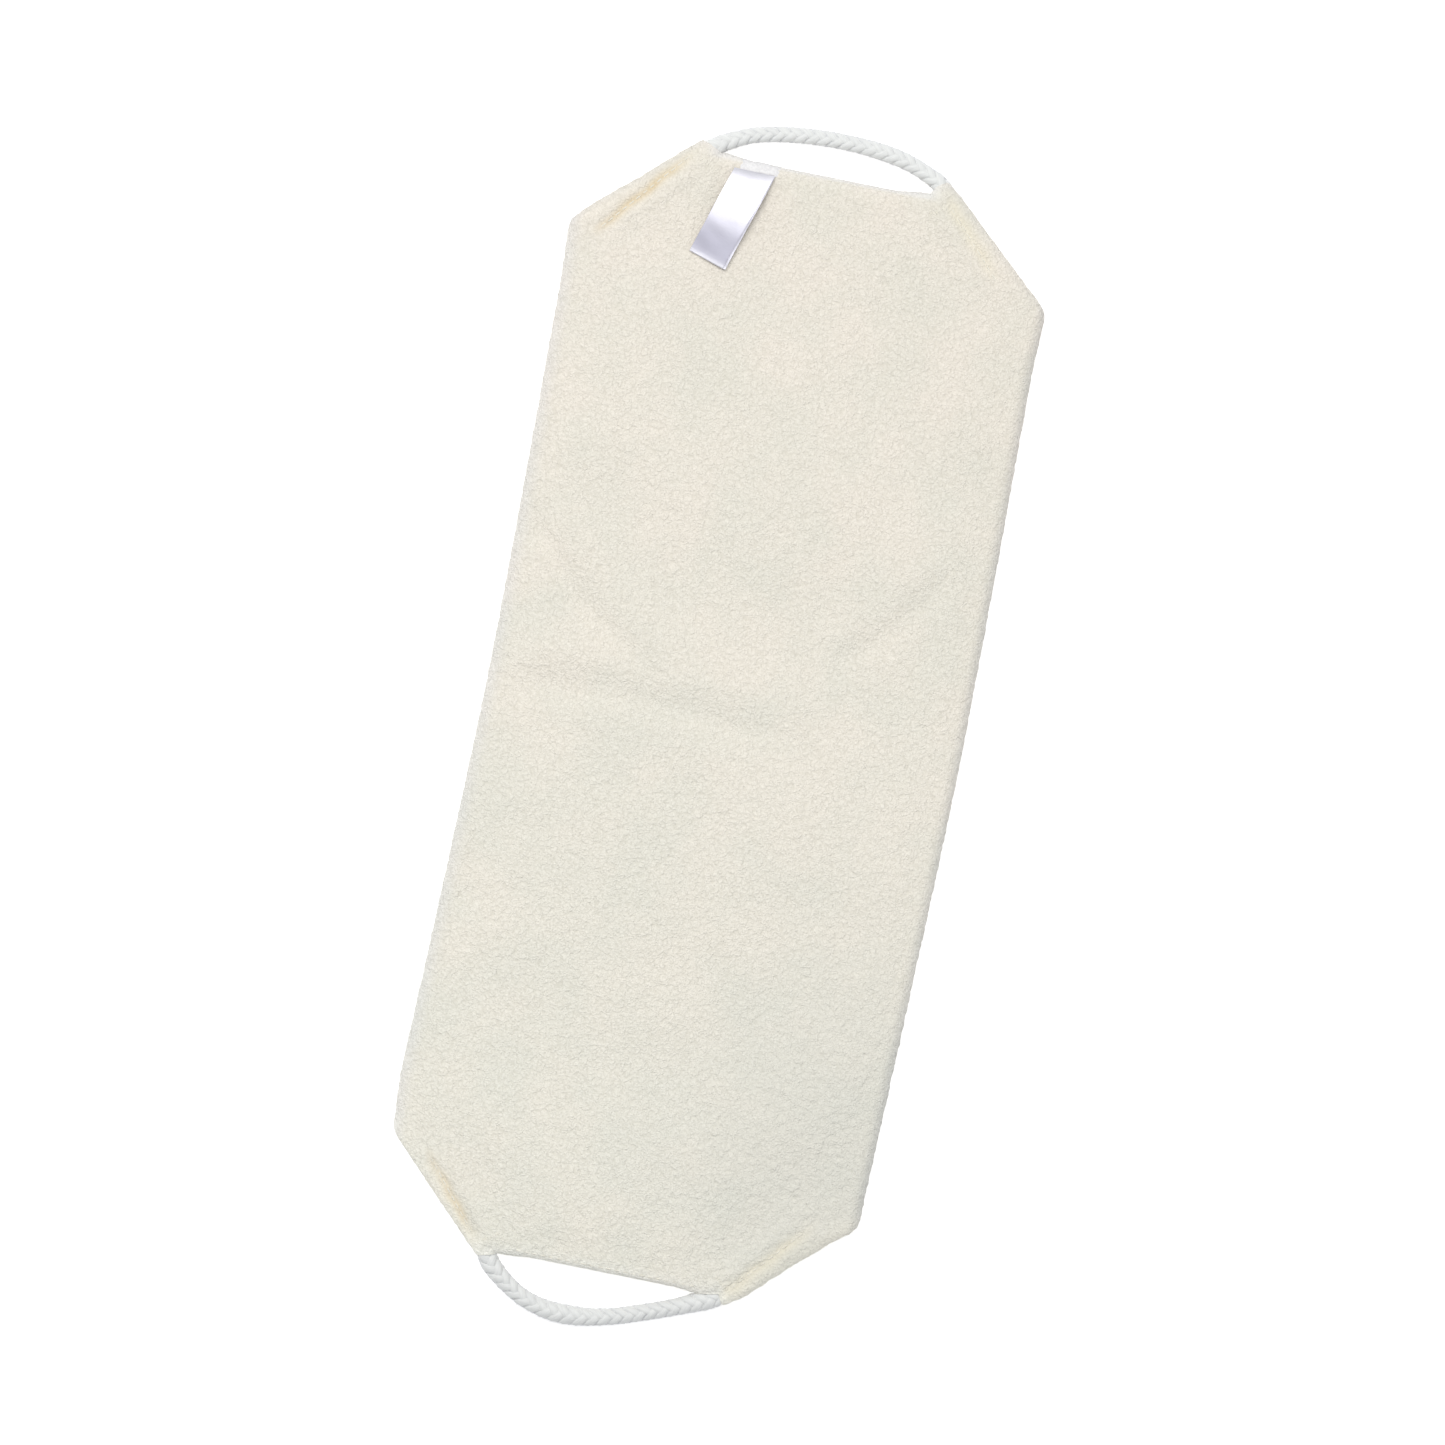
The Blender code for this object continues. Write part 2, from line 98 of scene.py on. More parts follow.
def place_lights():
    area_light("key", (-0.85, 0.75, 1.60), 0.9, 11.5, (1.0, 0.99, 0.97))
    area_light("fill", (1.3, -0.5, 1.6), 1.6, 2.0, (0.97, 0.98, 1.0))
    area_light("overhead", (0.0, 0.80, 3.0), 2.1, 43, (1.0, 1.0, 1.0))
    studio = bpy.data.worlds.new("studio")
    bpy.context.scene.world = studio
    studio.use_nodes = True
    back = studio.node_tree.nodes["Background"]
    back.inputs["Color"].default_value = (0.96, 0.975, 1.0, 1)
    back.inputs["Strength"].default_value = 0.38
    bpy.context.scene.view_settings.view_transform = "Standard"


def place_floor():
    mesh = bpy.data.meshes.new("floor")
    mesh.from_pydata([(-4, -4, 0), (4, -4, 0), (4, 4, 0), (-4, 4, 0)], [], [(0, 1, 2, 3)])
    floor = bpy.data.objects.new("floor", mesh)
    bpy.context.scene.collection.objects.link(floor)
    made = bpy.data.materials.new("floor")
    made.use_nodes = True
    shader = made.node_tree.nodes["Principled BSDF"]
    shader.inputs["Base Color"].default_value = (0.95, 0.95, 0.95, 1)
    shader.inputs["Roughness"].default_value = 0.9
    shader.inputs["Specular IOR Level"].default_value = 0.1
    shader.inputs["Emission Color"].default_value = (1, 1, 1, 1)
    shader.inputs["Emission Strength"].default_value = 0.42
    mesh.materials.append(made)


# ---------------------------------------------------------------- materials


class Nodes:
    """A Principled material whose patterns lie on the cloth: they read where each point is at rest."""

    def __init__(self, name, roughness, **settings):
        self.material = bpy.data.materials.new(name)
        self.material.use_nodes = True
        self.tree = self.material.node_tree
        self.shader = self.tree.nodes["Principled BSDF"]
        self.set("Roughness", roughness)
        for key, value in settings.items():
            self.set(key.replace("_", " "), value)
        self.place = self.attribute("rest_place", "Vector")

    def set(self, name, value):
        self.shader.inputs[name].default_value = value

    def node(self, kind, links=None, **settings):
        made = self.tree.nodes.new(kind)
        for key, value in settings.items():
            setattr(made, key, value)
        for key, value in (links or {}).items():
            if isinstance(value, bpy.types.NodeSocket):
                self.tree.links.new(value, made.inputs[key])
            else:
                made.inputs[key].default_value = value
        return made

    def attribute(self, name, output="Fac"):
        return self.node("ShaderNodeAttribute", attribute_name=name).outputs[output]

    def stretched(self, scale, where=None):
        links = {"Vector": where or self.place, "Scale": scale}
        return self.node("ShaderNodeMapping", links).outputs["Vector"]

    def noise(self, size_mm, detail, roughness=0.5, where=None):
        """Noise with features of about that size. Coordinates are in millimetres."""
        links = {"Vector": where or self.place, "Scale": 1 / size_mm}
        links.update(Detail=detail, Roughness=roughness)
        return self.node("ShaderNodeTexNoise", links).outputs["Fac"]

    def cells(self, size_mm, where=None):
        links = {"Vector": where or self.place, "Scale": 1 / size_mm}
        return self.node("ShaderNodeTexVoronoi", links).outputs["Distance"]

    def ramp(self, value, low, high, start=0.0, end=1.0):
        """value from low to high, mapped to start to end and held there."""
        links = {"Value": value, "From Min": low, "From Max": high, "To Min": start, "To Max": end}
        return self.node("ShaderNodeMapRange", links).outputs["Result"]

    def math(self, operation, a, b):
        return self.node("ShaderNodeMath", {0: a, 1: b}, operation=operation).outputs[0]

    def mix(self, share, a, b, blend_type="MIX"):
        """Colour a turned into colour b by share."""
        made = self.node("ShaderNodeMix", data_type="RGBA", blend_type=blend_type)
        for key, value, kind in (("Factor", share, "VALUE"), ("A", a, "RGBA"), ("B", b, "RGBA")):
            socket = next(s for s in made.inputs if s.name == key and s.type == kind)
            if isinstance(value, bpy.types.NodeSocket):
                self.tree.links.new(value, socket)
            else:
                socket.default_value = value if kind == "VALUE" else (*value, 1)
        return next(s for s in made.outputs if s.type == "RGBA")

    def colour(self, socket):
        self.tree.links.new(socket, self.shader.inputs["Base Color"])

    def two_tone(self, pattern, span, low, high, strength, distance_mm):
        """The material in two colours, and with bumps, that follow one pattern."""
        self.colour(self.mix(self.ramp(pattern, *span), low, high))
        self.bump(pattern, strength, distance_mm)
        return self.material

    def bump(self, height, strength, distance_mm):
        links = {"Height": height, "Strength": strength, "Distance": distance_mm / 1000}
        made = self.node("ShaderNodeBump", links)
        self.tree.links.new(made.outputs["Normal"], self.shader.inputs["Normal"])


# The terry's stored tints, in the order in which they are laid over its ground.
TERRY_TINTS = {
    # painted shade over a patch near the lower right corner
    "painted_shade_patch": (0.70, 0.705, 0.645),
    # a whiter band at the end edges: the pile lies flatter at the hem, and the whiter colour is partly a
    # painted highlight on the rolled edge
    "hem": (0.86, 0.86, 0.83),
    "tan": (0.76, 0.60, 0.36),
    "yellow": (0.90, 0.82, 0.62),
}


def terry_material():
    m = Nodes("terry", 0.95, Specular_IOR_Level=0.15, Sheen_Weight=0.25, Sheen_Roughness=0.6)
    mottle = m.ramp(m.noise(30, 3.0), 0.36, 0.64)
    # The ground turns from a cooler cream at the lower end to a warmer one at the upper end. The warmer hue
    # is the cloth's own; the lower end's greater brightness is painted light.
    cool = m.mix(mottle, (0.892, 0.876, 0.783), (0.936, 0.900, 0.801))
    warm = m.mix(mottle, (0.863, 0.829, 0.737), (0.911, 0.852, 0.760))
    along = m.node("ShaderNodeSeparateXYZ", {"Vector": m.place}).outputs["Y"]
    ground = m.mix(m.ramp(along, -190.0, 170.0), cool, warm)
    twist = m.node("ShaderNodeTexNoise", {"Vector": m.place, "Scale": 0.45, "Detail": 1.0})
    push = m.node("ShaderNodeVectorMath", {0: twist.outputs["Color"], "Scale": 2.6}, operation="SCALE")
    curled = m.node("ShaderNodeVectorMath", {0: m.place, 1: push.outputs[0]}, operation="ADD")
    curls = m.cells(1.15, curled.outputs[0])
    fuzz = m.noise(0.6, 2.0, 0.6)
    loops = m.math("ADD", m.math("MULTIPLY", curls, -0.9), m.math("MULTIPLY", fuzz, 0.9))
    shade = m.mix(m.ramp(loops, -0.35, 0.35), (0.885, 0.88, 0.86), (1.04, 1.04, 1.04))
    ground = m.mix(1.0, ground, shade, "MULTIPLY")
    for name, tint in TERRY_TINTS.items():
        ground = m.mix(m.attribute(name), ground, tint)
    # Painted light and shade along the edges, multiplied in last.
    m.colour(m.mix(1.0, ground, m.attribute("painted_edge_shading", "Vector"), "MULTIPLY"))
    m.bump(loops, 0.8, 0.55)
    return m.material


def cord_material():
    m = Nodes("cord", 0.5, Specular_IOR_Level=0.3, Sheen_Weight=0.1)
    strands = m.stretched((0.16, 3.2, 1.0), m.attribute("strand_place", "Vector"))
    filaments = m.noise(1.0, 3.0, 0.65, strands)
    shade = m.mix(m.ramp(filaments, 0.3, 0.7), (0.73, 0.74, 0.735), (0.84, 0.85, 0.825))
    # Painted shade: the strands turn lavender grey where they sink between the others and where they face
    # sideways.
    m.colour(m.mix(m.attribute("deep"), shade, (0.45, 0.46, 0.53)))
    m.bump(filaments, 0.5, 0.25)
    return m.material


def satin_material():
    m = Nodes("satin", 0.42, Specular_IOR_Level=0.6, Metallic=0.7)
    weave = m.noise(1.0, 1.0, 0.5, m.stretched((5.5, 0.5, 1.0), m.attribute("ribbon_place", "Vector")))
    sheen = m.mix(m.ramp(weave, 0.35, 0.65), (0.84, 0.83, 0.90), (0.91, 0.90, 0.96))
    # Painted shade: lavender grey toward the drooping free end, light again at the fold, and on the leaf
    # below.
    m.colour(m.mix(m.attribute("painted_ribbon_shade"), sheen, (0.37, 0.365, 0.43)))
    m.bump(weave, 0.2, 0.05)
    return m.material


def satin_edge_material():
    """The ribbon's crumpled cut ends, half seen through the hem's pile."""
    m = Nodes("satin_edge", 0.5, Specular_IOR_Level=0.4)
    crumple = m.noise(1.1, 2.0, 0.6)
    return m.two_tone(crumple, (0.35, 0.65), (0.77, 0.76, 0.765), (0.88, 0.87, 0.87), 0.5, 0.2)


def loofah_material(name, deep, high):
    m = Nodes(name, 0.72, Specular_IOR_Level=0.3)
    tone = m.ramp(m.noise(16, 3.0, 0.6), 0.3, 0.7)
    fibre = m.noise(0.8, 3.0, 0.6, m.stretched((0.35, 1.4, 1.0)))
    colour = m.mix(tone, deep, high)
    colour = m.mix(m.ramp(fibre, 0.35, 0.65, 0.0, 0.55), colour, (0.50, 0.36, 0.18))
    m.colour(m.mix(m.attribute("deep"), colour, (0.33, 0.22, 0.10)))
    m.bump(fibre, 0.6, 0.3)
    return m.material


def foam_material():
    m = Nodes("foam", 0.9, Specular_IOR_Level=0.2)
    return m.two_tone(m.cells(0.9), (0.1, 0.6), (0.90, 0.87, 0.74), (0.74, 0.70, 0.56), 0.8, 0.4)


def thread_material():
    m = Nodes("thread", 0.55, Specular_IOR_Level=0.35, Sheen_Weight=0.2)
    twist = m.noise(0.35, 2.0, 0.5, m.stretched((1.0, 0.4, 1.0)))
    return m.two_tone(twist, (0.35, 0.65), (0.78, 0.75, 0.65), (0.88, 0.85, 0.76), 0.5, 0.12)


# ---------------------------------------------------------------- shape helpers


def world(points):
    out = np.array(points, float).reshape(-1, 3).copy()
    out[:, 1] += PANEL_OFFSET_Y
    return out / 1000


def random_at(cells, seed):
    """One value from -1 to 1 for each whole-numbered cell."""
    n = cells[..., 0] * 374761393 + cells[..., 1] * 668265263 + cells[..., 2] * 1440662683 + seed * 971215073
    n = (n ^ (n >> 13)) & 0xFFFFFFFF
    n = (n * 1274126177) & 0xFFFFFFFF
    n = n ^ (n >> 16)
    return (n & 0xFFFF) / 32767.5 - 1


def noise3(points, size, seed):
    """Smooth values from -1 to 1 that change over about size."""
    turned = points @ np.array([[0.80, 0.36, -0.48], [-0.60, 0.48, -0.64], [0.0, 0.80, 0.60]])
    p = turned / size
    cell = np.floor(p).astype(np.int64)
    f = p - cell
    f = f * f * (3 - 2 * f)
    total = np.zeros(len(points))
    for corner in np.ndindex(2, 2, 2):
        weight = np.prod(np.where(np.array(corner) == 1, f, 1 - f), axis=1)
        total += weight * random_at(cell + np.array(corner), seed)
    return total


def smooth_step(x):
    x = np.clip(x, 0, 1)
    return x * x * (3 - 2 * x)


def hump(x, middle, reach):
    """A smooth hump, 1 high at its middle, that fades over its reach."""
    return np.exp(-(((x - middle) / reach) ** 2))


def bow(y):
    """How far the panel's middle line lies to the right, as it was laid down."""
    return 3.3 * np.clip(1 - (np.abs(y) / 185.0) ** 1.4, 0, 1)


def laid_down(points):
    """The points of a layer, with its outline as it was sewn and its middle line as it lies."""
    out = points.copy()
    out[:, :2] = drawn_out(points[:, :2])
    out[:, 0] += bow(out[:, 1])
    return out


def mesh_piece(name, points, faces, material, normals=None, fields=None):
    """A mesh object from points in the panel's frame. It keeps their rest places, so that patterns move
    with it."""
    mesh = bpy.data.meshes.new(name)
    mesh.vertices.add(len(points))
    mesh.vertices.foreach_set("co", world(points).astype(np.float32).ravel())
    sizes = np.array([len(f) for f in faces], np.int32)
    mesh.loops.add(int(sizes.sum()))
    mesh.loops.foreach_set("vertex_index", np.concatenate([np.asarray(f, np.int32) for f in faces]))
    mesh.polygons.add(len(sizes))
    mesh.polygons.foreach_set("loop_start", np.concatenate([[0], np.cumsum(sizes)[:-1]]).astype(np.int32))
    mesh.update(calc_edges=True)
    for key, values in {"rest_place": points, **(fields or {})}.items():
        values = np.asarray(values, np.float32)
        kind, part = ("FLOAT_VECTOR", "vector") if values.ndim == 2 else ("FLOAT", "value")
        mesh.attributes.new(key, kind, "POINT").data.foreach_set(part, values.ravel())
    mesh.shade_smooth()
    if material:
        mesh.materials.append(material)
    obj = bpy.data.objects.new(name, mesh)
    bpy.context.scene.collection.objects.link(obj)
    if normals is not None:
        mesh.normals_split_custom_set_from_vertices(normals.tolist())
    return obj


def quad_normals(points, quads):
    """Vertex normals of a mesh of quads."""
    a, b, c, d = (points[quads[:, i]] for i in range(4))
    flat = np.cross(c - a, d - b)
    out = np.zeros_like(points)
    for i in range(4):
        np.add.at(out, quads[:, i], flat)
    return out / np.maximum(np.linalg.norm(out, axis=1, keepdims=True), 1e-12)


def sheet_quads(rows, columns):
    """The quads of a grid of points, facing up."""
    index = np.arange(rows * columns).reshape(rows, columns)
    corners = (index[1:, :-1], index[1:, 1:], index[:-1, 1:], index[:-1, :-1])
    return np.stack(corners, axis=-1).reshape(-1, 4)


def halves(name, cad_name, points, quads, material, fields=None):
    """A layer of the panel as its two halves, each from the middle to its own end."""
    normals = quad_normals(points, quads)
    made = {}
    for end, sign in ENDS.items():
        mine = quads[points[quads][:, :, 1].mean(axis=1) * sign > 0]
        used, index = np.unique(mine, return_inverse=True)
        own = {key: values[used] for key, values in (fields or {}).items()}
        obj = mesh_piece(f"{name}_{end}", points[used], index.reshape(-1, 4), material, normals[used], own)
        bend(obj, end)
        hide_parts(f"{cad_name}_{end}", f"{cad_name}_middle")
        made[end] = obj
    return made


def bend(obj, end):
    """Bakes the piece's placement into its mesh. The long stretch round the bend at that end is worked out,
    but nothing uses it.
    """
    sign = ENDS[end]
    start, stop = world([(0, sign * y, BEND_Z) for y in (BEND_Y - BEND_REACH, BEND_Y + BEND_REACH)])
    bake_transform(obj)


def lengths_along(line):
    """How far along a line each of its points lies."""
    return np.concatenate([[0], np.cumsum(np.linalg.norm(np.diff(line, axis=0), axis=1))])


def smooth_route(given, step):
    """Points about a step apart on a Catmull-Rom curve through the given ones."""
    g = np.array(given, float)
    g = np.vstack([2 * g[0] - g[1], g, 2 * g[-1] - g[-2]])
    t = np.linspace(0, 1, 24, endpoint=False)[:, None]
    fine = []
    for a, b, c, d in zip(g, g[1:], g[2:], g[3:]):
        square, cube = a - 2.5 * b + 2 * c - d / 2, 1.5 * (b - c) + (d - a) / 2
        fine.append(b + t * (c - a) / 2 + t**2 * square + t**3 * cube)
    fine = np.vstack([*fine, g[-2]])
    along = lengths_along(fine)
    at = np.linspace(0, along[-1], max(3, int(round(along[-1] / step)) + 1))
    return np.stack([np.interp(at, along, fine[:, k]) for k in range(3)], axis=1)


def frames_along(route):
    """Unit vectors (sideways, upward) at each point of a route that never runs straight up."""
    ways = np.gradient(route, axis=0)
    ways /= np.linalg.norm(ways, axis=1, keepdims=True)
    side = np.cross(ways, (0, 0, 1.0))
    side /= np.linalg.norm(side, axis=1, keepdims=True)
    return side, np.cross(side, ways)


def tube(centres, across, upward, wide, high, sides, first):
    """Rings and quads of a tube round centres, numbered from first on. across and upward are unit vectors
    there, wide and high half sizes."""
    turn = np.linspace(0, 2 * np.pi, sides, endpoint=False)
    wide, high = (np.broadcast_to(np.asarray(v, float), (len(centres),)) for v in (wide, high))
    rings = (
        centres[:, None]
        + across[:, None] * (wide[:, None] * np.cos(turn))[:, :, None]
        + upward[:, None] * (high[:, None] * np.sin(turn))[:, :, None]
    )
    points = rings.reshape(-1, 3)
    i = np.arange(len(centres) - 1)[:, None] * sides
    j = np.arange(sides)[None, :]
    k = (j + 1) % sides
    quads = np.stack([i + j, i + k, i + sides + k, i + sides + j], axis=-1).reshape(-1, 4)
    return points, quads + first


def capped(quads, sides, rings, first):
    """The faces of a tube whose ends are both closed."""
    last = first + (rings - 1) * sides
    return [*quads, list(range(first + sides - 1, first - 1, -1)), list(range(last, last + sides))]


# ---------------------------------------------------------------- cords

# From one hidden end to the other, close to the CAD handles' own routes.
CORD_ROUTES = {
    "upper": [
        (-60.4, 210.0, 4.6), (-55.6, 217.6, 4.8), (-50.0, 223.4, 5.0), (-46.0, 226.4, 5.1),
        (-41.4, 229.5, 5.0), (-31.2, 234.3, 4.5), (-18.0, 237.3, 3.9), (-2.0, 238.8, 3.6),
        (15.0, 238.5, 3.7), (30.2, 236.2, 4.2), (41.1, 232.2, 4.7), (46.5, 229.1, 5.0),
        (51.4, 223.4, 5.0), (56.6, 215.6, 4.8), (61.0, 208.0, 4.6),
    ],
    "lower": [
        (-58.0, -209.0, 4.6), (-53.6, -215.8, 4.8), (-49.0, -222.8, 5.0),
        (-45.5, -229.0, 5.0), (-38.0, -235.4, 4.7), (-29.0, -240.5, 4.5), (-18.0, -243.2, 4.4),
        (-6.0, -243.1, 4.3), (6.0, -240.8, 4.0), (17.5, -237.0, 4.0), (28.8, -232.7, 4.5),
        (37.2, -229.0, 5.0), (46.0, -225.0, 5.0), (52.4, -219.6, 4.8), (57.6, -212.6, 4.6),
    ],
}
CORD_WIDTHS = {"upper": 6.8, "lower": 7.3}
# Where a cord is looser: how far along it, over what reach, and its share of extra width.
CORD_SWELLS = {"upper": (93.0, 12.0, 0.07), "lower": (60.0, 11.0, 0.17)}
CORD_EXITS = {"upper": (-46.9, 224.4, 5.2), "lower": (-49.0, -222.8, 5.2)}
# Where it comes out a cord spreads a little: how far from its end, over what reach, and its share.
CORD_SPREAD = (23.0, 8.0, 0.14)
CORD_LEVEL = 5.0
CORD_FREE_Y = 233.4  # where a cord's free loop begins, past the panel's end
ROUTE_STEP = 0.55
CARRIERS = 4  # strands each way round
BRAID_PITCH = 4.7  # between two strands along one side of the cord
BRAID_TURN = math.radians(22.5)  # brings the line where the strands meet to the top
# In a cord of this width: a strand's distance from the cord's middle, its lift where it passes over
# another, its half width and its half height.
STRAND_CORD, STRAND_SIZES = 6.3, (1.88, 0.32, 1.50, 0.97)
TAIL_FLAT, TAIL_FADE = 6.0, 14.0  # a sewn-in tail is squeezed flat this far from its end, then less so


def tail_share(hidden):
    """0 in a cord's flat tail, 1 outside, by the distance from the cord's nearer end."""
    return smooth_step((hidden - TAIL_FLAT) / TAIL_FADE)


def braid(route, width, swell):
    """Points, quads and fields of a round braid: strands that go both ways round it, each over two others
    and under two."""
    scale = width / STRAND_CORD
    along = lengths_along(route)
    side, up = frames_along(route)
    lead = CARRIERS * BRAID_PITCH
    hidden = np.minimum(along, along[-1] - along)
    squeeze = 0.55 + 0.45 * tail_share(hidden)
    for at, (place, reach, share) in ((hidden, CORD_SPREAD), (along, swell)):
        squeeze *= 1 + share * hump(at, place, reach)
    middle, lift, half_wide, half_high = (v * scale * squeeze for v in STRAND_SIZES)
    points, quads, fields = [], [], {"strand_place": [], "deep": []}
    first, sides = 0, 10
    for hand in (1, -1):
        for k in range(CARRIERS):
            angle = hand * 2 * np.pi * along / lead + 2 * np.pi * k / CARRIERS + BRAID_TURN
            crossing = 2 * CARRIERS * along / lead
            over = hand * np.clip(1.35 * np.cos(np.pi / 2 * (2 * k + hand * crossing - 0.5)), -1, 1)
            radius = middle + lift * over
            out = side * np.cos(angle)[:, None] + up * np.sin(angle)[:, None]
            centres = route + out * radius[:, None]
            own = np.gradient(centres, axis=0)
            own /= np.linalg.norm(own, axis=1, keepdims=True)
            across = np.cross(own, out)
            across /= np.linalg.norm(across, axis=1, keepdims=True)
            top = np.cross(across, own)
            wide = half_wide * (1 + 0.06 * np.sin(along * 0.9 + 2.1 * k + hand))
            p, q = tube(centres, across, top, wide, half_high, sides, first)
            turn = np.tile(np.linspace(0, 2 * np.pi, sides, endpoint=False), len(route))
            from_axis = p.reshape(-1, sides, 3) - route[:, None]
            high_up = np.linalg.norm(from_axis, axis=2).ravel()
            sideways = 1 - np.abs((from_axis * up[:, None]).sum(axis=2).ravel() / high_up)
            strand = np.full(len(turn), 7.0 * k + 31 * (hand + 1))
            fields["strand_place"].append(np.stack([np.repeat(along, sides), np.cos(turn) * 1.4, strand], 1))
            # Painted shade, kept as "deep": where a strand sinks toward the cord's middle, and where it
            # faces sideways.
            sunk = np.clip((2.85 * scale - high_up) / (0.8 * scale), 0, 1) * 0.75
            fields["deep"].append(np.clip(sunk + 0.38 * sideways**1.5, 0, 0.9))
            points.append(p)
            quads.append(q)
            first += len(p)
    return np.vstack(points), np.vstack(quads), {key: np.concatenate(v) for key, v in fields.items()}


def make_cords(material):
    for end, sign in ENDS.items():
        route = smooth_route(CORD_ROUTES[end], ROUTE_STEP)
        width = CORD_WIDTHS[end]
        points, quads, fields = braid(route, width, CORD_SWELLS[end])
        obj = mesh_piece(f"braided_cord_{end}", points, quads, material, fields=fields)
        nodes = [f"rope_handle_{end}", f"rope_filler_{end}"]
        for side in SIDES:
            nodes += [f"rope_end_{end}_{side}", f"rope_end_filler_{end}_{side}"]
        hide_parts(*nodes)
        line = world(route[::2] if len(route) % 2 else np.vstack([route[::2], route[-1]]))
        start, stop = world([(0, sign * y, CORD_LEVEL) for y in (HALF_LENGTH, CORD_FREE_Y)])
        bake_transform(obj)
        tuple(world([CORD_EXITS[end]])[0])


# ---------------------------------------------------------------- outline of the panel


ARC_POINTS = 5  # on half a rounded corner
LEAST_RADIUS = 0.8
CUT_NORMAL = np.array([HALF_LENGTH - CUT_START_Y, HALF_WIDTH - CUT_END_X])  # of the corner at +X and +Y
CUT_LENGTH = np.linalg.norm(CUT_NORMAL)
CUT_NORMAL /= CUT_LENGTH
CUT_ALONG = np.array([CUT_NORMAL[1], -CUT_NORMAL[0]])
CUT_REACH = CUT_NORMAL @ np.array([HALF_WIDTH, CUT_START_Y])


def sharp_corners(inset):
    """The outline's eight corners moved in by inset, clockwise from the left end of the upper edge."""
    reach = CUT_REACH - inset
    wide, long = HALF_WIDTH - inset, HALF_LENGTH - inset
    side = np.array([wide, (reach - CUT_NORMAL[0] * wide) / CUT_NORMAL[1]])
    end = np.array([(reach - CUT_NORMAL[1] * long) / CUT_NORMAL[0], long])
    right = np.array([end, side, side * (1, -1), end * (1, -1)])
    return np.vstack([end * (-1, 1), right, right[::-1][:3] * (-1, 1)])


def half_arc(corner, before, after, radius, second):
    """Half of the arc that rounds a corner: up to its middle, or from its middle on."""
    u = (before - corner) / np.linalg.norm(before - corner)
    v = (after - corner) / np.linalg.norm(after - corner)
    half = math.acos(float(np.clip(u @ v, -1, 1))) / 2
    centre = corner + (u + v) / np.linalg.norm(u + v) * radius / math.sin(half)
    a, b = (corner + way * radius / math.tan(half) - centre for way in (u, v))
    shares = np.linspace(0.5, 1, ARC_POINTS) if second else np.linspace(0, 0.5, ARC_POINTS)
    full = math.acos(float(np.clip(a @ b / radius**2, -1, 1)))
    arc = np.array([math.sin((1 - s) * full) * a + math.sin(s * full) * b for s in shares])
    return centre + arc / math.sin(full)


def outline_side(inset, i, shares):
    """Points at those shares of side i, which runs from the middle of one rounded corner to the next."""
    c = sharp_corners(inset)
    radii = [END_CORNER_RADIUS, END_CORNER_RADIUS, SIDE_CORNER_RADIUS, SIDE_CORNER_RADIUS] * 2
    j = (i + 1) % 8
    line = np.vstack([
        half_arc(c[i], c[i - 1], c[j], max(radii[i] - inset, LEAST_RADIUS), True),
        half_arc(c[j], c[i], c[(j + 1) % 8], max(radii[j] - inset, LEAST_RADIUS), False),
    ])
    along = lengths_along(line)
    at = np.asarray(shares) * along[-1]
    return np.stack([np.interp(at, along, line[:, k]) for k in range(2)], axis=1)


def outline_loop(inset, columns, cut_rows, side_rows):
    """The whole outline, clockwise, with that many steps on each side."""
    steps = [columns, cut_rows, side_rows, cut_rows] * 2
    return np.vstack([outline_side(inset, i, np.arange(n) / n) for i, n in enumerate(steps)])


def edge_distances(x, y):
    """How far a point lies from the nearest side, the nearest end and the nearest cut edge."""
    x, y = np.abs(x), np.abs(y)
    return HALF_WIDTH - x, HALF_LENGTH - y, CUT_REACH - (x * CUT_NORMAL[0] + y * CUT_NORMAL[1])


def edge_distance(x, y):
    """How far inside the outline a point lies."""
    return np.minimum.reduce(edge_distances(x, y))


def panel_grid(inset, step):
    """A grid that fills the outline moved in by inset: its points, its quads, the loop of its border and
    the numbers of steps on each kind of side."""
    cut_height = abs(np.diff(outline_side(inset, 1, (0, 1))[:, 1])[0])
    side = np.linalg.norm(np.diff(outline_side(inset, 2, (0, 1)), axis=0))
    columns = int(round(2 * HALF_WIDTH / step))
    cut_rows = max(2, int(round(cut_height / step)))
    side_rows = 2 * max(1, int(round(side / step / 2)))
    loop = outline_loop(inset, columns, cut_rows, side_rows)
    rows = 2 * cut_rows + side_rows
    top = loop[: columns + 1]
    right = loop[columns : columns + rows + 1]
    bottom = loop[columns + rows : 2 * columns + rows + 1][::-1]
    left = np.vstack([loop[2 * columns + rows :], loop[:1]])[::-1]
    share = np.linspace(0, 1, columns + 1)[None, :, None]
    grid = left[:, None] * (1 - share) + right[:, None] * share
    grid[0], grid[-1] = top, bottom
    index = np.arange((rows + 1) * (columns + 1)).reshape(rows + 1, columns + 1)
    quads = np.roll(sheet_quads(*index.shape), 1, axis=1)
    border = np.concatenate([index[0, :-1], index[:-1, -1], index[-1, :0:-1], index[:0:-1, 0]])
    return grid.reshape(-1, 2), quads, border, (columns, cut_rows, side_rows)


def skirt(border, first, rings, count):
    """Quads from a border loop outward through rings of count points each."""
    loops = [border] + [first + np.arange(count) + k * count for k in range(rings)]
    return np.vstack([wall(one, other) for one, other in zip(loops, loops[1:])])


def wall(one, other):
    """Quads between two closed loops of as many points."""
    return np.stack([one, np.roll(one, -1), np.roll(other, -1), other], axis=-1)


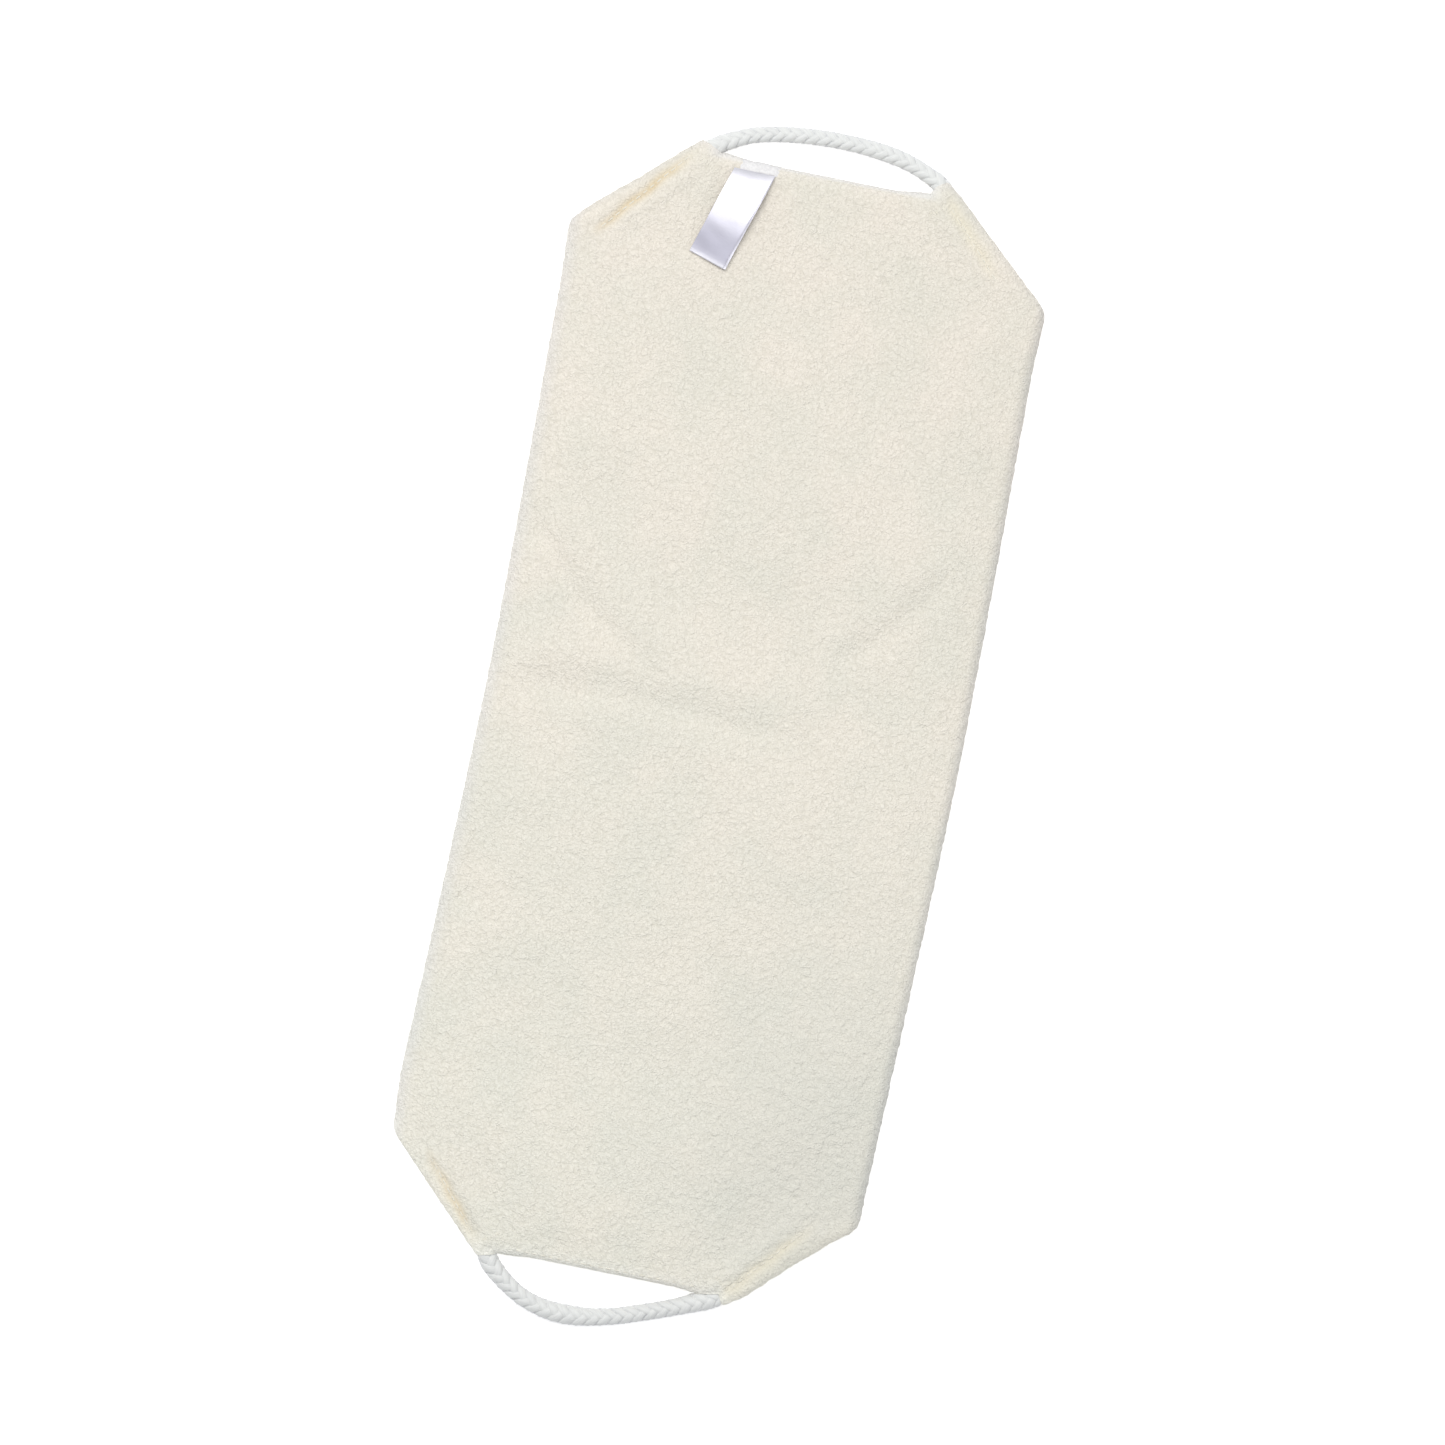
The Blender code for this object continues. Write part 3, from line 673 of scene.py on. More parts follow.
# (side, end): where the hem that the cord comes out of runs, from the middle of the edge outward. Each
# point has its share of the way along the stretch of straight edge that is drawn out to it.
MOUTHS = {
    ("left", "upper"): [(0, -41.4, 223.8), (1, -50.0, 227.6)],
    ("right", "upper"): [(0, 42.0, 224.5), (0.3, 43.2, 227.0), (1, 47.2, 229.5)],
    ("left", "lower"): [(0, -43.6, -224.9), (1, -51.2, -226.6)],
    ("right", "lower"): [(0, 37.4, -224.8), (0.55, 46.3, -222.7), (1, 48.8, -227.0)],
}
MOUTH_DEPTH = 26.0  # how far into the panel the outline's shifts reach
END_PULLS = {"upper": 0.8, "lower": 0.7}  # how far the end edges' hems draw them in
# (side, end): how far the cut edge is out of true, outward, at CUT_SHARES of the way to its outer corner.
CUT_SHARES = (0, 0.15, 0.5, 0.75, 1)
CUT_SHIFTS = {
    ("left", "upper"): (1.3, 1.5, 0.95, 1.3, 0.9),
    ("right", "upper"): (2.1, 3.0, 1.9, 1.9, 1.9),
    ("left", "lower"): (0.6, 0.1, -1.3, -2.05, -2.7),
    ("right", "lower"): (0.7, 2.0, -0.35, -0.5, 0.4),
}


def drawn_out(flat):
    """The same places with the outline as it was sewn: its cut edges a little out of true, its end edges
    pulled in, and each corner drawn out along the cord."""
    x, y = flat.T
    moved = flat.copy()
    end_pull = smooth_step(1 - (HALF_LENGTH - np.abs(y)) / 12)
    end_pull *= smooth_step((CUT_END_X - 15 - np.abs(x)) / 12)
    moved[:, 1] -= np.where(y > 0, END_PULLS["upper"], -END_PULLS["lower"]) * end_pull
    for (side, end), shifts in CUT_SHIFTS.items():
        signs = np.array([SIDES[side], ENDS[end]])
        from_corner = flat * signs - (CUT_END_X, HALF_LENGTH)
        t = from_corner @ CUT_ALONG / CUT_LENGTH
        inside = -from_corner @ CUT_NORMAL
        fade = smooth_step(1 - inside / MOUTH_DEPTH)
        fade *= smooth_step((t + 0.45) / 0.45) * smooth_step((1.5 - t) / 0.5)
        moved += (fade * np.interp(t, CUT_SHARES, shifts))[:, None] * signs * CUT_NORMAL
    for (side, end), hem in MOUTHS.items():
        sx, sy = SIDES[side], ENDS[end]
        hem = np.array(hem)
        start = abs(hem[0, 1])
        across = (x * sx - start) / (CUT_END_X - start)
        fade = ((across > 0) & (y * sy > 0)) * smooth_step(1 - (HALF_LENGTH - y * sy) / MOUTH_DEPTH)
        shift_x = hem[:, 1] - sx * (start + (CUT_END_X - start) * hem[:, 0])
        shift_y = hem[:, 2] - sy * HALF_LENGTH
        moved[:, 0] += fade * np.interp(across, hem[:, 0], shift_x)
        moved[:, 1] += fade * np.interp(across, hem[:, 0], shift_y)
    return moved


def wrapped(points, clear):
    """The points moved up or down off the cords where they lie in them."""
    out = points.copy()
    step, softness = 0.8, 0.5
    from_x, from_y = 30, 206  # the cords lie in the cloth beyond these

    def past(gap):
        """The gap where it is above 0, and softly 0 where it is below."""
        return softness * np.log1p(np.exp(np.clip(gap / softness, -30, 30)))

    for end, sign in ENDS.items():
        route = smooth_route(CORD_ROUTES[end], step)
        near = np.flatnonzero((points[:, 1] * sign > from_y) & (np.abs(points[:, 0]) > from_x))
        far = np.linalg.norm(points[near, None, :2] - route[None, :, :2], axis=2)
        nearest = far.argmin(axis=1)
        aside, middle = far[np.arange(len(near)), nearest], route[nearest, 2]
        hidden = np.minimum(nearest, len(route) - 1 - nearest) * step
        radius = (CORD_WIDTHS[end] / 2 + clear) * (0.60 + 0.40 * tail_share(hidden))
        half = np.sqrt(np.maximum(radius**2 - aside**2, 0))
        z = points[near, 2]
        top, bottom = middle + half, middle - half
        cleared = np.where(z - middle > -0.5, top + past(z - top), bottom - past(bottom - z))
        out[near, 2] = z + smooth_step((radius + 1.0 - aside) / 1.4) * (cleared - z)
    return out


# ---------------------------------------------------------------- terry cloth

TERRY_TOP = 10.3
ROLL = 6.2  # how far in the cloth starts to roll over the edge
ROLL_MIDDLE = 5.5  # the height at which the rolled edge reaches farthest out
RIM_BOTTOM, RIM_INSET = 1.5, 4.4  # where the rolled edge ends, under the panel
TUCK_INSET, TUCK_LEVELS = 5.3, (2.3, 3.4)  # the cloth's edge is tucked up under the rim
SHOULDER_DROP, SHOULDER_REACH = 0.75, 7.0  # the face sinks beside the roll
CORD_CLEAR = 0.65  # the cloth's distance from the cords under it
LOWEST = 0.6
# (side, end): inner end and outer end of the sunk seam beside each cut corner, its depth, and its shares of
# tan and of yellow.
GROOVES = {
    ("left", "upper"): ((-52.4, 223.4), (-86.0, 183.2), 1.0, 0.85, 0.15),
    ("right", "upper"): ((50.5, 222.6), (76.8, 194.2), 0.4, 0.00, 0.40),
    ("left", "lower"): ((-53.2, -220.6), (-79.0, -189.6), 1.0, 0.55, 0.20),
    ("right", "lower"): ((49.0, -222.0), (79.4, -187.4), 0.45, 0.05, 0.40),
}
# Soft folds left from when it was packed: their lines, depths and half widths.
CREASES = [
    ([(-92.0, 74.0), (-85.6, 61.6), (-65.8, 38.2), (-39.2, 19.5), (-20.0, 12.0)], 1.25, 5.0),
    ([(-95.0, 1.0), (-44.0, 5.1), (-10.0, 2.2), (17.5, -0.4), (46.0, -6.0)], 1.25, 6.5),
    ([(36.0, 30.0), (53.7, 44.4), (72.1, 66.1), (84.0, 84.0)], 0.85, 4.5),
]


def along_line(x, y, line):
    """(signed distance from a broken line, share of the way along it) for each point."""
    line = np.array(line, float)
    p = np.stack([x, y], axis=-1)
    best, signed, share = np.full(len(p), np.inf), np.zeros(len(p)), np.zeros(len(p))
    passed = lengths_along(line)
    for i, (a, b) in enumerate(zip(line, line[1:])):
        length = passed[i + 1] - passed[i]
        d = (b - a) / length
        t = (p - a) @ d
        held = np.clip(t, 0, length)
        off = p - (a + held[:, None] * d)
        far = np.linalg.norm(off, axis=1)
        cross = d[0] * off[:, 1] - d[1] * off[:, 0]
        near = far < best
        best = np.where(near, far, best)
        signed = np.where(near, np.where(cross < 0, -far, far), signed)
        whole = t if len(line) == 2 else held
        share = np.where(near, (passed[i] + whole) / passed[-1], share)
    return signed, share


def relief(x, y):
    """(height added to the terry face, tan tint, yellow tint) at each place."""
    flat = np.stack([x, y, np.zeros_like(x)], axis=1)
    height = 0.34 * noise3(flat, 42, 3) + 0.22 * noise3(flat, 19, 4) + 0.10 * noise3(flat, 8, 5)
    for line, depth, wide in CREASES:
        q, t = along_line(x, y, line)
        fade = smooth_step(t / 0.18) * smooth_step((1 - t) / 0.3)
        swell = 0.55 * hump(q, 2.2 * wide, 1.6 * wide) + 0.3 * hump(q, -2.4 * wide, 1.8 * wide)
        height += fade * depth * (swell - hump(q, 0, wide))
    tan, yellow = np.zeros_like(x), np.zeros_like(x)
    patchy = 0.75 + 0.35 * noise3(flat, 5.0, 6)
    for (side, end), (a, b, depth, tan_share, yellow_share) in GROOVES.items():
        q, t = along_line(x, y, [a, b])
        wave = 0.35 * np.sin(t * 19 + 5 * SIDES[side])
        q = (q + wave) * SIDES[side] * ENDS[end]  # above 0 on the outline's side of the seam
        near = (np.abs(q) < 25) & (t > -0.6) & (t < 1.6)
        fade = smooth_step((t + 0.10) / 0.20) * smooth_step((1.06 - t) / 0.45)
        cord = hump(q, -5.2, 3.4) * smooth_step((1.15 - t) / 0.5) * smooth_step((t + 0.35) / 0.3)
        hem = hump(q, 3.6, 2.6) * smooth_step((t + 0.15) / 0.15) * smooth_step((1.15 - t) / 0.3)
        height += near * (-depth * fade * hump(q, 0, 2.5) + 0.55 * cord + 0.35 * hem)
        middle = smooth_step(t / 0.3) * smooth_step((1.1 - t) / 0.4)
        tan += near * tan_share * patchy * middle * hump(q, 0, 1.7)
        yellow += near * yellow_share * fade * hump(q, 0.6, 2.8)
    return height, np.clip(tan, 0, 1), np.clip(yellow, 0, 1)


COVER_SLACK = 0.004  # how much larger the terry was cut than the pad it is sewn round
COVER_VOXEL = 5.0
COVER_FRAMES = 20
COVER_SEWN, COVER_SIDE = 4.5, 7.5  # held this near the outline and below this height
BUCKLE_SHARE = 0.35  # of the simulated buckles is left after the scrubber has lain flat in its pack
MOST_BUCKLE = 1.1
SAMPLE_STEP = 3.0
# (side or None, end or None): painted light and shade along that edge: how far in it reaches, and the colour
# by which the cloth's colour is multiplied, below 1 for shade and above 1 for light.
PAINTED_EDGE_SHADING = {
    ("left", None): (7.0, (0.95, 0.965, 1.02)),
    ("right", None): (5.0, (0.84, 0.85, 0.88)),
    (None, "upper"): (5.0, (1.02, 1.02, 1.05)),
    (None, "lower"): (6.5, (1.13, 1.14, 1.17)),
    ("left", "upper"): (3.5, (0.88, 0.89, 0.91)),
    ("right", "upper"): (4.5, (0.93, 0.935, 0.95)),
    ("left", "lower"): (6.5, (1.10, 1.10, 1.10)),
    ("right", "lower"): (7.5, (1.09, 1.08, 1.06)),
}


def painted_edge_shading(x, y):
    """The painted light and shade near each edge, by which the cloth's colour is multiplied."""
    tint = np.ones((len(x), 3))
    beside_side, beside_end, beside_cut = edge_distances(x, y)
    for (side, end), (reach, colour) in PAINTED_EDGE_SHADING.items():
        far = beside_cut if side and end else beside_side if side else beside_end
        here = np.ones(len(x), bool)
        if side:
            here &= x * SIDES[side] > 0
        if end:
            here &= y * ENDS[end] > 0
        share = here * smooth_step(1 - np.maximum(far, 0) / reach)
        tint *= 1 + share[:, None] * (np.array(colour) - 1)
    return tint


def closed_form(inset, step, low, high):
    """A plain closed pad in the panel's outline, for the simulation."""
    grid, quads, border, _ = panel_grid(inset, step)
    flat = drawn_out(grid)
    n = len(grid)
    rise = 0.25 * noise3(np.column_stack([flat, np.zeros(n)]), 24, 71)
    points = np.vstack([np.column_stack([flat, high + rise]), np.column_stack([flat, np.full(n, low)])])
    return points, np.vstack([quads, wall(border, border + n), quads[:, ::-1] + n])


def buckles():
    """The soft buckles of a cover that is a little too large for its pad, from a cloth simulation: a
    function that gives the height they add to the terry face at each place."""
    points, quads = closed_form(1.5, 6.0, 4.2, 9.6)
    pad = mesh_piece("cover_form", points, quads, None)
    remesh = pad.modifiers.new("remesh", "REMESH")
    remesh.mode, remesh.voxel_size = "VOXEL", COVER_VOXEL / 1000
    scene = bpy.context.scene
    made = bpy.data.meshes.new_from_object(pad.evaluated_get(bpy.context.evaluated_depsgraph_get()))
    pad.modifiers.clear()
    pad.data = made
    before = vertex_places(made)
    here = before * 1000 - (0, PANEL_OFFSET_Y, 0)
    held = (here[:, 2] < COVER_SIDE) | (edge_distance(here[:, 0], here[:, 1]) < COVER_SEWN)
    pad.vertex_groups.new(name="sewn").add(np.flatnonzero(held).tolist(), 1.0, "REPLACE")
    cloth = pad.modifiers.new("cloth", "CLOTH")
    settings = cloth.settings
    settings.quality, settings.mass = 6, 0.2
    settings.tension_stiffness = settings.compression_stiffness = 40
    settings.shear_stiffness, settings.bending_stiffness = 20, 3
    settings.shrink_min = settings.shrink_max = -COVER_SLACK
    settings.use_pressure, settings.uniform_pressure_force = True, 0.1
    settings.effector_weights.gravity = 0
    settings.vertex_group_mass = "sewn"
    for number in range(1, COVER_FRAMES + 1):
        scene.frame_set(number)
    after = vertex_places(pad.evaluated_get(bpy.context.evaluated_depsgraph_get()).data)
    scene.frame_set(1)
    faces = [tuple(face.vertices) for face in made.polygons]
    trees = [BVHTree.FromPolygons(p.tolist(), faces) for p in (before, after)]
    bpy.data.objects.remove(pad)
    xs = np.arange(-HALF_WIDTH, HALF_WIDTH + SAMPLE_STEP, SAMPLE_STEP)
    ys = np.arange(-HALF_LENGTH, HALF_LENGTH + SAMPLE_STEP, SAMPLE_STEP)
    lift = np.zeros((len(xs), len(ys)))
    for i, j in np.ndindex(lift.shape):
        place = world([(xs[i], ys[j], 40)])[0]
        hits = [tree.ray_cast(place.tolist(), (0, 0, -1))[0] for tree in trees]
        if all(hits):
            lift[i, j] = (hits[1].z - hits[0].z) * 1000
    inside = edge_distance(*np.meshgrid(xs, ys, indexing="ij"))
    lift = MOST_BUCKLE * np.tanh(BUCKLE_SHARE * lift / MOST_BUCKLE) * smooth_step((inside - 4) / 10)

    def height(x, y):
        u = np.clip((x - xs[0]) / SAMPLE_STEP, 0, len(xs) - 1.001)
        v = np.clip((y - ys[0]) / SAMPLE_STEP, 0, len(ys) - 1.001)
        i, j = u.astype(int), v.astype(int)
        u, v = smooth_step(u - i), smooth_step(v - j)
        low = lift[i, j] * (1 - u) + lift[i + 1, j] * u
        high = lift[i, j + 1] * (1 - u) + lift[i + 1, j + 1] * u
        return low * (1 - v) + high * v

    return height


def vertex_places(mesh):
    places = np.empty(len(mesh.vertices) * 3, np.float32)
    mesh.vertices.foreach_get("co", places)
    return places.reshape(-1, 3).astype(float)


def make_terry(material):
    """The terry face with its rolled edges, one open sheet from the seam under one edge to the other."""
    step, upper_count, lower_count = ((0.86, 10, 7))
    buckle = buckles()

    def face(flat):
        """The height above the plain face, and the tan and the yellow tint, at each place."""
        height, tan, yellow = relief(*flat.T)
        return height + buckle(*flat.T), tan, yellow

    grid, quads, border, steps = panel_grid(ROLL, step)
    flat = drawn_out(grid)
    height, tan, yellow = face(flat)
    shoulder = 0.4 + 0.6 * smooth_step((195 - np.abs(grid[:, 1])) / 14)
    shoulder *= -SHOULDER_DROP * hump(edge_distance(*grid.T), ROLL, SHOULDER_REACH)
    top = np.column_stack([flat, TERRY_TOP + height + shoulder])
    outer = outline_loop(0, *steps)
    inward = outline_loop(ROLL, *steps) - outer
    # The ends and the cut edges are rolled tighter than the sides.
    fullness = 0.6 + 0.4 * smooth_step((190 - np.abs(outer[:, 1])) / 8)
    upper_turns = np.radians(np.linspace(90, 0, upper_count))[1:]
    lower_turns = np.radians(np.linspace(0, -90, lower_count))[1:]
    zeros = np.zeros(len(outer))
    points, tints, edge_places = [top], [(tan, yellow)], [grid]
    for turn in (*upper_turns, *lower_turns):
        s, c = math.sin(turn), math.cos(turn)
        if s >= 0:
            flat = drawn_out(outer + inward * (1 - c))
            height, tan, yellow = face(flat)
            z = ROLL_MIDDLE + (TERRY_TOP + shoulder[border] + height - ROLL_MIDDLE) * s**fullness
            tints.append((tan * s, yellow * s))
        else:
            flat = drawn_out(outer + inward * (1 - c) * RIM_INSET / ROLL)
            z = zeros + ROLL_MIDDLE + (ROLL_MIDDLE - RIM_BOTTOM) * s
            tints.append((zeros, zeros))
        points.append(np.column_stack([flat, z]))
        edge_places.append(outer + inward * (1 - c))
    tuck = drawn_out(outer + inward * TUCK_INSET / ROLL)
    for z in TUCK_LEVELS:
        points.append(np.column_stack([tuck, zeros + z]))
        edge_places.append(outer)
        tints.append((zeros, zeros))
    quads = np.vstack([quads, skirt(border, len(top), len(points) - 1, len(outer))])
    points = wrapped(np.vstack(points), CORD_CLEAR)
    surface = BVHTree.FromPolygons(points.tolist(), quads.tolist())
    tan, yellow = (np.concatenate(values) for values in zip(*tints))
    x, y, z = points.T
    end_band = smooth_step((np.abs(y) - (HALF_LENGTH - 3.0)) / 1.8) * smooth_step((50 - np.abs(x)) / 8)
    # The pile is flatter along the end edges, mostly the upper one; the whiter tint there is partly a
    # painted highlight on the rolled edge.
    hem = end_band * np.where(y > 0, 0.55, 0.1)
    # Painted shade over a patch near the lower right corner, where the pile is also rougher.
    painted_shade_patch = hump(x, 80, 58) * hump(y, -168, 78)
    pile = 0.13 * noise3(points, 1.8, 11) + 0.25 * noise3(points, 1.1, 12) + 0.04 * noise3(points, 3.4, 13)
    pile *= (1 + 0.55 * painted_shade_patch) * (1 - 0.55 * end_band) * (1 - 0.7 * smooth_step((3.2 - z) / 1.2))
    points += quad_normals(points, quads) * pile[:, None]
    points[:, 2] = np.maximum(points[:, 2], LOWEST)
    points[:, 0] += bow(points[:, 1])
    fields = {"hem": hem, "tan": tan, "yellow": yellow, "painted_shade_patch": 0.45 * painted_shade_patch}
    # painted light and shade along the edges
    fields["painted_edge_shading"] = painted_edge_shading(*np.vstack(edge_places).T)
    made = halves("terry_cloth", "terry_front", points, quads, material, fields)

    def surface_height(x, y):
        """The cloth's height without its pile."""
        hits = [surface.ray_cast((px, py, 40), (0, 0, -1))[0] for px, py in zip(np.ravel(x), np.ravel(y))]
        return np.array([hit.z if hit else ROLL_MIDDLE for hit in hits])

    return surface_height


# ---------------------------------------------------------------- foam and loofah


FOAM_INSET, FOAM_SIDE_INSET, FOAM_STEP = 5.0, 4.6, 5.0
FOAM_TOP, FOAM_MIDDLE, FOAM_BOTTOM = 7.0, 5.6, 4.3
LOOFAH_INSET, LOOFAH_BOTTOM = 6.4, 1.05
LOOFAH_RIM = [(5.6, 1.15), (5.1, 1.9), (5.1, 3.0), (5.8, 3.9)]  # inset and height
FIBRE_INSET = 6.2
KNOT_JITTER = 0.42  # as a share of the spacing
FIBRE_SHAPE = np.array([1.25, 0.95, 0.85, 0.95, 1.25])  # a fibre is thinnest in its middle


def make_foam(material):
    grid, quads, border, steps = panel_grid(FOAM_INSET, FOAM_STEP)
    n = len(grid)
    top = np.column_stack([grid, FOAM_TOP + 0.12 * noise3(np.column_stack([grid, np.zeros(n)]), 9, 21)])
    loop = outline_loop(FOAM_SIDE_INSET, *steps)
    middle = np.column_stack([loop, np.full(len(loop), FOAM_MIDDLE)])
    points = laid_down(np.vstack([top, middle, np.column_stack([grid, np.full(n, FOAM_BOTTOM)])]))
    ring = n + np.arange(len(loop))
    below = n + len(loop)  # the number of the lower grid's first point
    quads = [quads, wall(border, ring), wall(ring, border + below), quads[:, ::-1] + below]
    for obj in halves("foam_layer", "foam_core", points, np.vstack(quads), material).values():
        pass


def make_loofah(material):
    """The loofah slab: a rough mat with a sunken network between its fibres."""
    step = 1.35
    grid, quads, border, steps = panel_grid(LOOFAH_INSET, step)
    n = len(grid)
    flat = np.column_stack([grid[:, 0] * 0.75, grid[:, 1] * 1.25, np.zeros(n)])
    net = np.abs(noise3(flat, 4.6, 31)) + 0.6 * np.abs(noise3(flat, 2.4, 32))
    z = LOOFAH_BOTTOM + 0.9 * np.clip(net - 0.12, 0, 0.9) + 0.25 * noise3(flat, 15, 33)
    points = [np.column_stack([grid, z])]
    for inset, z in LOOFAH_RIM:
        loop = outline_loop(inset, *steps)
        ring = np.column_stack([loop, np.full(len(loop), z)])
        points.append(ring + 0.22 * noise3(ring, 1.6, 34)[:, None] * np.array([1, 1, 0.6]))
    quads = np.vstack([quads, skirt(border, n, len(LOOFAH_RIM), len(points[1]))])[:, ::-1]
    rim_deep = np.full(sum(len(ring) for ring in points[1:]), 0.35)
    fields = {"deep": np.concatenate([np.clip(net * 1.3 - 0.25, 0, 0.85), rim_deep])}
    points = laid_down(np.vstack(points))
    for obj in halves("loofah_mat", "loofah_back", points, quads, material, fields).values():
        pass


def make_fibres(material):
    """The network of fibres on the loofah's face, joined at jittered knots, long across the panel."""
    random = np.random.default_rng(5)
    spacing = ((9.0, 4.6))
    xs = np.arange(-HALF_WIDTH, HALF_WIDTH, spacing[0])
    ys = np.arange(-HALF_LENGTH + 1, HALF_LENGTH, spacing[1])
    gx, gy = np.meshgrid(xs, ys)
    gx = gx + (np.arange(len(ys)) % 2)[:, None] * spacing[0] / 2
    knots = np.stack([gx, gy], -1) + random.uniform(-KNOT_JITTER, KNOT_JITTER, (*gx.shape, 2)) * spacing
    level = random.uniform(0.55, 1.7, gx.shape)
    links = []
    rows, columns = gx.shape
    for r, c in np.ndindex(rows, columns):
        lean = 1 if r % 2 else -1
        for dr, dc, chance in ((0, 1, 0.92), (1, 0, 0.62), (1, lean, 0.62), (2, 0, 0.16), (0, 2, 0.30)):
            if r + dr < rows and 0 <= c + dc < columns and random.random() < chance:
                links.append(((r, c), (r + dr, c + dc)))
    by_end = {end: ([], [], 0) for end in ENDS}
    share = np.linspace(0, 1, len(FIBRE_SHAPE))[:, None]
    for a, b in links:
        p, q = knots[a], knots[b]
        sag = random.normal(0, 1.0, 2)
        thick = random.uniform(0.20, 0.46)
        if min(edge_distance(*p), edge_distance(*q)) < FIBRE_INSET or (p[1] > 0) != (q[1] > 0):
            continue
        line = p * (1 - share) + q * share + np.sin(share * np.pi) * sag
        z = level[a] * (1 - share) + level[b] * share + np.sin(share * np.pi) * random.uniform(-0.5, 0.3)
        line = np.column_stack([line, np.maximum(z, thick + 0.03)])
        end = "upper" if p[1] > 0 else "lower"
        points, faces, first = by_end[end]
        across, up = frames_along(line)
        wide = thick * FIBRE_SHAPE
        ring, quads = tube(line, across, up, wide, wide * 0.85, 5, first)
        points.append(ring)
        faces.append(quads)
        by_end[end] = (points, faces, first + len(ring))
    for end, (points, faces, _) in by_end.items():
        points = laid_down(np.vstack(points))
        fields = {"deep": np.clip((points[:, 2] - 1.2) / 2.0, 0, 0.6)}
        obj = mesh_piece(f"loofah_fibres_{end}", points, np.vstack(faces), material, fields=fields)
        bend(obj, end)


# ---------------------------------------------------------------- stitching


# Each row's thread radius, the thread's height over the cloth, a stitch with its gap, and the gap.
CASING_STITCH = (0.28, -0.05, 3.6, 1.0)
TACK_STITCH = (0.22, -0.05, 9.0, 0.1)
HEM_STITCH = (0.22, 0.0, 3.4, 1.1)
SEAM_STITCH = (0.34, 0.0, 4.2, 1.2)
HEM_X, HEM_Y = 37.0, 221.9
SEAM_INSET, SEAM_LEVEL, SEAM_REACH = 4.9, 1.35, (0.4, 176.0)
TACK_PLACE, TACK_WAY = (47.0, 218.6), (-24.0, 34.0)
TACK_BARS, TACK_SPACING, TACK_HALF = 7, 1.02, 0.9


def stitch_run(points, faces, a, b, height, radius, sink):
    """One stitch from a to b: a short thread that comes out of the cloth and goes back in."""
    share = np.linspace(0, 1, 7)[:, None]
    line = a * (1 - share) + b * share
    z = height(line[:, 0], line[:, 1]) + sink
    z = z + radius * (1.2 * np.sin(share[:, 0] * np.pi) ** 0.5 - 1)
    line = np.column_stack([line, z])
    across, up = frames_along(line)
    first, sides = sum(len(p) for p in points), 6
    ring, quads = tube(line, across, up, radius, radius, sides, first)
    points.append(ring)
    faces.extend(capped(quads.tolist(), sides, len(line), first))


def make_stitches(name, lines, height, sizes, material, *nodes):
    """Rows of separate stitches along lines, as one piece."""
    radius, sink, stitch, gap = sizes
    points, faces = [], []
    for line in np.array(lines, float):
        along = lengths_along(line)
        count = max(1, int(round(along[-1] / stitch)))
        for i in range(count):
            at = np.array([i, i + 1]) * along[-1] / count + np.array([gap / 2, -gap / 2])
            a, b = np.stack([np.interp(at, along, line[:, k]) for k in range(2)], axis=1)
            stitch_run(points, faces, a, b, height, radius, sink)
    points = np.vstack(points)
    points[:, 0] += bow(points[:, 1])
    obj = mesh_piece(name, points, faces, material)
    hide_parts(*nodes)
    return obj


def tack_bars(sx, sy):
    """The short lines of the bar tack that holds the cord at one corner."""
    centre, along = (np.array(pair) * (sx, sy) for pair in (TACK_PLACE, TACK_WAY))
    along /= np.linalg.norm(along)
    across = np.array((-along[1], along[0]))
    middles = [centre + across * (k - (TACK_BARS - 1) / 2) * TACK_SPACING for k in range(TACK_BARS)]
    return [[middle - along * TACK_HALF, middle + along * TACK_HALF] for middle in middles]


def make_all_stitching(material, surface_height):
    def under(x, y):
        return np.full(len(x), SEAM_LEVEL)

    for end, sy in ENDS.items():
        hem = [(x, sy * HEM_Y) for x in (-HEM_X, HEM_X)]
        rows = [("hem_stitches", "hem_stitching", end, [hem], HEM_STITCH)]
        for side, sx in SIDES.items():
            a, b = (np.array(place) for place in GROOVES[(side, end)][:2])
            casing = [a + (b - a) * 0.06, a + (b - a) * 0.94]
            corner = f"{end}_{side}"
            rows.append(("casing_stitches", "casing_stitching", corner, [casing], CASING_STITCH))
            rows.append(("tack", "bar_tack", corner, tack_bars(sx, sy), TACK_STITCH))
            seam = [[(sx * (HALF_WIDTH - SEAM_INSET), sy * y) for y in SEAM_REACH]]
            nodes = [f"side_seam_{side}_{part}" for part in (end, "middle")]
            obj = make_stitches(f"seam_stitches_{side}_{end}", seam, under, SEAM_STITCH, material, *nodes)
            bend(obj, end)
        for name, node, place, lines, sizes in rows:
            obj = make_stitches(f"{name}_{place}", lines, surface_height, sizes, material, f"{node}_{place}")
            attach(obj, f"pad_{end}")


# ---------------------------------------------------------------- label

LABEL_X, LABEL_Y = -27.4, 220.0
LABEL_LENGTH, LABEL_WIDTH = 40.5, 15.0
LABEL_SKEW = math.radians(17.8)
LEAF = 0.42  # half the distance between the ribbon's two leaves
LABEL_RISE = 0.75  # the ribbon's height over the cloth at its root
LABEL_HEM_Y, LABEL_HEM_DEPTH, LABEL_HEM_HALF = 219.1, 5.0, 7.9  # the sewn ends' start, depth, half width


def ribbon_line(share):
    """Height of the ribbon over the cloth at each share of its length."""
    rise = 3.2 * smooth_step(share / 0.70)
    droop = 2.5 * np.clip((share - 0.55) / 0.45, 0, 1) ** 1.35
    return rise - droop


